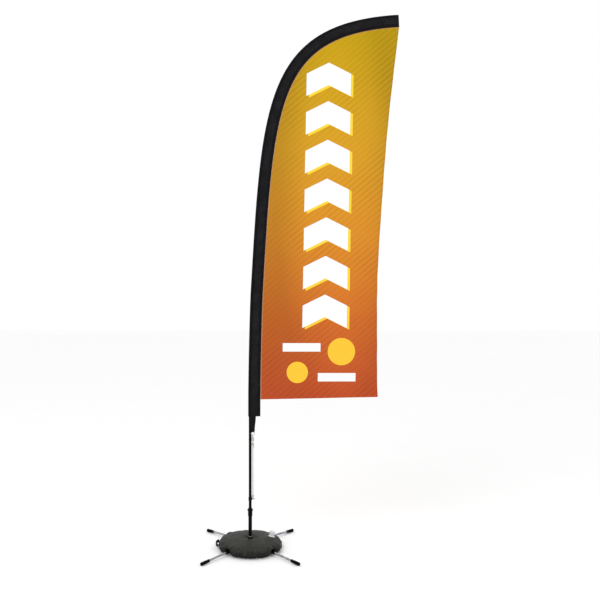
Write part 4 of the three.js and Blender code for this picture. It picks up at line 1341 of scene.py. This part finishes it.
WELD = 0.009  # width of the welded lip round the bag
WELD_HALF = 0.0006  # half its thickness
RIM_ROUND = 0.016  # the skin turns round over this width inside the rim
HOLE_ROUND = 0.006  # rounds the edge of the hole in the middle
LEG_ROOM = 0.0145  # half the width of the channel that the bag leaves for a leg
CHANNEL_EDGE = 0.028  # from the leg's middle, where the channel's side reaches the floor
LEG_PULL = 0.045  # a leg draws the bag's skin this far to each side
BAG_CROWN = 0.084  # the upper skin's height near the middle
INNER_WELD = 0.034  # radius of the weld round the hole
OVER_HUB = 0.0685  # the lower skin's height


def beside_leg(azimuth, radius):
    """Distance from the nearest leg's middle."""
    quarter = azimuth % (pi / 2)
    return radius * sin(abs(quarter - pi / 4))


def bag_edge(azimuth):
    """Radius of the bag's rim: drawn in over each leg, with slack lobes between them."""
    beside = beside_leg(azimuth, BAG_RADIUS)
    drawn = 0.010 * (1 - smoothstep(beside, 0, LEG_PULL))
    ears = 0.008 * exp(-((beside - 0.075) / 0.030) ** 2)
    loose = 0.008 * wander(cos(azimuth) * 2.9, sin(azimuth) * 2.9, 1.7)
    scallop = 0.0075 * pucker(azimuth, 0.6)
    return BAG_RADIUS - 0.006 - drawn + ears + loose - scallop


def pucker(azimuth, phase):
    """Sharp irregular gathers round the bag, 0 on the crowns and up to 1 in the creases."""
    x, y = cos(azimuth), sin(azimuth)
    drift = wander(2.2 * x + phase, 2.2 * y, phase)
    crease = (1 - abs(sin(11 * azimuth + 5.5 * drift + phase))) ** 2.6
    return crease * smoothstep(wander(3.7 * x, 3.7 * y, 6 + phase), -0.35, 0.35)


def bag_top(radius, azimuth):
    """The upper skin: full near the middle, falling to the rim, creased beside both welds."""
    dip = 0.006 * (1 - smoothstep(radius, BAG_HOLE, 0.060))
    fall = 0.034 * (radius / BAG_RADIUS) ** 3
    rim = smoothstep(radius, 0.168, 0.230) ** 2
    inner = 1 - smoothstep(radius, 0.030, 0.085)
    creases = 0.0120 * rim * pucker(azimuth, 0.6) + 0.0045 * inner * pucker(azimuth, 2.1)
    beside = beside_leg(azimuth, radius)
    over_leg = 0.0030 * rim * (1 - smoothstep(beside, 0, LEG_PULL))
    over_leg -= 0.0080 * rim * exp(-((beside - 0.027) / 0.008) ** 2)
    rolling = 0.0034 * wander(radius * cos(azimuth) * 11, radius * sin(azimuth) * 11, 4.4)
    weld = 0.0012 * (1 - smoothstep(abs(radius - INNER_WELD), 0.0030, 0.0050))
    return BAG_CROWN - dip - fall - creases - weld + over_leg + rolling * smoothstep(radius, 0.028, 0.07)


def bag_under(radius, azimuth):
    """The lower skin: over the hub and the legs, and down to the floor between the legs."""
    over_leg = mix(0.062, 0.050, smoothstep(radius, 0.060, 0.140))
    beside = smoothstep(beside_leg(azimuth, radius), LEG_ROOM, CHANNEL_EDGE)
    away = mix(over_leg, BAG_FLOOR, beside)
    rim_lift = (0.004 + 0.014 * pucker(azimuth, 0.6)) * smoothstep(radius, 0.200, 0.236) * beside
    return mix(OVER_HUB, away + rim_lift, smoothstep(radius, 0.074, 0.098))


def bag_ring(azimuth):
    """One section of the bag: out along the top, round the welded rim and back underneath."""
    edge = bag_edge(azimuth)
    inner = BAG_HOLE + HOLE_ROUND
    corner = edge - RIM_ROUND
    high, low = bag_top(corner, azimuth), bag_under(corner, azimuth)
    middle = mix(low, high, 0.50)
    line = []
    for radius in spread(inner, corner, 34):
        line.append((radius, bag_top(radius, azimuth)))
    for angle in spread(pi / 2, 0.12, 7)[1:]:
        line.append((corner + (edge - corner) * cos(angle), mix(middle, high, sin(angle))))
    lip = edge + WELD * (0.75 + 0.25 * wander(azimuth * 3))
    droop = 0.0035 * sin(9 * azimuth + 2 * wander(azimuth * 2.0))
    line += [(lip - WELD_HALF, middle + droop + WELD_HALF), (lip, middle + droop),
             (lip - WELD_HALF, middle + droop - WELD_HALF)]
    for angle in spread(-0.12, -pi / 2, 7):
        line.append((corner + (edge - corner) * cos(angle), mix(middle, low, -sin(angle))))
    for radius in spread(corner, inner, 28)[1:]:
        line.append((radius, bag_under(radius, azimuth)))
    bottom, top = bag_under(BAG_HOLE, azimuth), bag_top(inner, azimuth)
    wall_middle = (bottom + top) / 2
    for angle in spread(1.5 * pi, 0.5 * pi, 6)[1:-1]:
        height = wall_middle + (top - bottom) / 2 * sin(angle)
        line.append((inner + HOLE_ROUND * cos(angle), height))
    return [polar(radius, azimuth, height) for radius, height in line]


def make_bag():
    rings = [bag_ring(azimuth) for azimuth in circle(432)]
    bag = lofted("bag_skin", rings, joins_itself=True, sharp=radians(70))
    finish_piece(bag, "bag", "bag_cloth", "water_bag")


def filler_frame():
    joint = joints["cap_turn"]
    up = Vector(joint["axis"])
    lean = Vector((0, 0, 1)).rotation_difference(up).to_matrix().to_4x4()
    return Matrix.Translation(joint["pos_m"]) @ lean


def make_filler():
    """The threaded neck that is welded into the bag, and its cap."""
    place = filler_frame()
    bore, neck, flange = 0.0115, 0.0150, 0.0260
    shoulder, shoulder_top, neck_top = 0.0180, 0.0120, 0.0310
    profile = [(bore, -0.002), (flange, -0.002), (flange, 0.0008), (flange - 0.003, 0.0020),
               (shoulder + 0.002, 0.0022), (shoulder, 0.0045), (shoulder, shoulder_top - 0.003),
               (shoulder - 0.001, shoulder_top), (neck, shoulder_top)]
    for start in (0.0145, 0.0185, 0.0225):
        profile += [(neck, start), (neck + 0.0009, start + 0.0007), (neck + 0.0009, start + 0.0011),
                    (neck, start + 0.0018)]
    profile += [(neck, neck_top), (bore, neck_top)]
    make_turned("filler_spout", profile, 0.0005, "bag", "cap_plastic", "filler_neck", place)
    make_filler_cap(place)


def make_filler_cap(place):
    """The screw cap with a ribbed skirt."""
    outer, skirt, top = 0.0210, 0.0166, 0.0385
    lip, roof = 0.0130, 0.0336
    profile = [(skirt, lip), (outer - 0.0004, lip), (outer + 0.0004, lip + 0.0010),
               (outer + 0.0004, lip + 0.0030), (outer, lip + 0.0036), (outer, lip + 0.0050),
               (outer, top - 0.0050), (outer - 0.0006, top - 0.0032), (outer - 0.0030, top),
               (outer - 0.0065, top), (outer - 0.0075, top - 0.0008), (0, top - 0.0008),
               (0, roof), (skirt, roof)]
    ribs = 36
    rib = 0.0009
    rib_low = lip + 0.0045
    rib_high = top - 0.0045

    def ribbed(radius, height, azimuth):
        if not rib_low < height < rib_high or abs(radius - outer) > 0.0002:
            return radius
        return radius - rib * (0.5 - 0.5 * cos(ribs * azimuth))

    make_turned("filler_lid", profile, 0.0005, "cap", "cap_plastic", "filler_cap", place, 288,
                steps=2, shaped=ribbed)


def make_handle():
    """A loop of webbing sewn to the bag's rim."""
    start, sweep = radians(168), radians(24)
    half_width, thickness, bulge = 0.012, 0.0018, 0.017
    middle_height = 0.034
    rings, reach = [], []
    steps = 36
    columns = spread(-1, 1, 8)
    for t in spread(0, 1, steps):
        azimuth = start + sweep * t
        inside = BAG_RADIUS + 0.0012 + bulge * max(sin(pi * t), 0) ** 0.7
        twist = 0.0012 * sin(pi * t)
        front, back = [], []
        for share in columns:
            height = middle_height + half_width * share
            for out, row in ((0, front), (thickness, back)):
                radius = inside + out - twist * share * share
                row.append(polar(radius, azimuth, height))
        rings.append(front + back[::-1])
        reach.append(t * sweep * (BAG_RADIUS + bulge))
    flat = tape_place(2 * half_width, len(columns) - 1, reach)
    handle = lofted("handle_tape", rings, flat)
    finish_piece(handle, "bag", "webbing", "bag_handle")


# ---------------------------------------------------------------- the rest of the CAD model

def dress_cad_nodes():
    """Nodes that keep their CAD shape get the procedural material of their slot."""
    for part in frame["record"]["subparts"]:
        node = frame["nodes"][part["node"]]
        if node.hide_render:
            continue
        for slot in node.material_slots:
            slot.material = looks[part["material_slot"]]


def main():
    make_camera()
    make_stage()
    make_cord()
    make_ring()
    make_strap()
    make_hook()
    make_lower_pole()
    make_sleeve()
    make_panel()
    make_bag()
    make_filler()
    make_handle()
    make_spindle_collar()
    make_rotator()
    for name in LEG_AZIMUTHS:
        make_leg(name)
    dress_cad_nodes()


main()
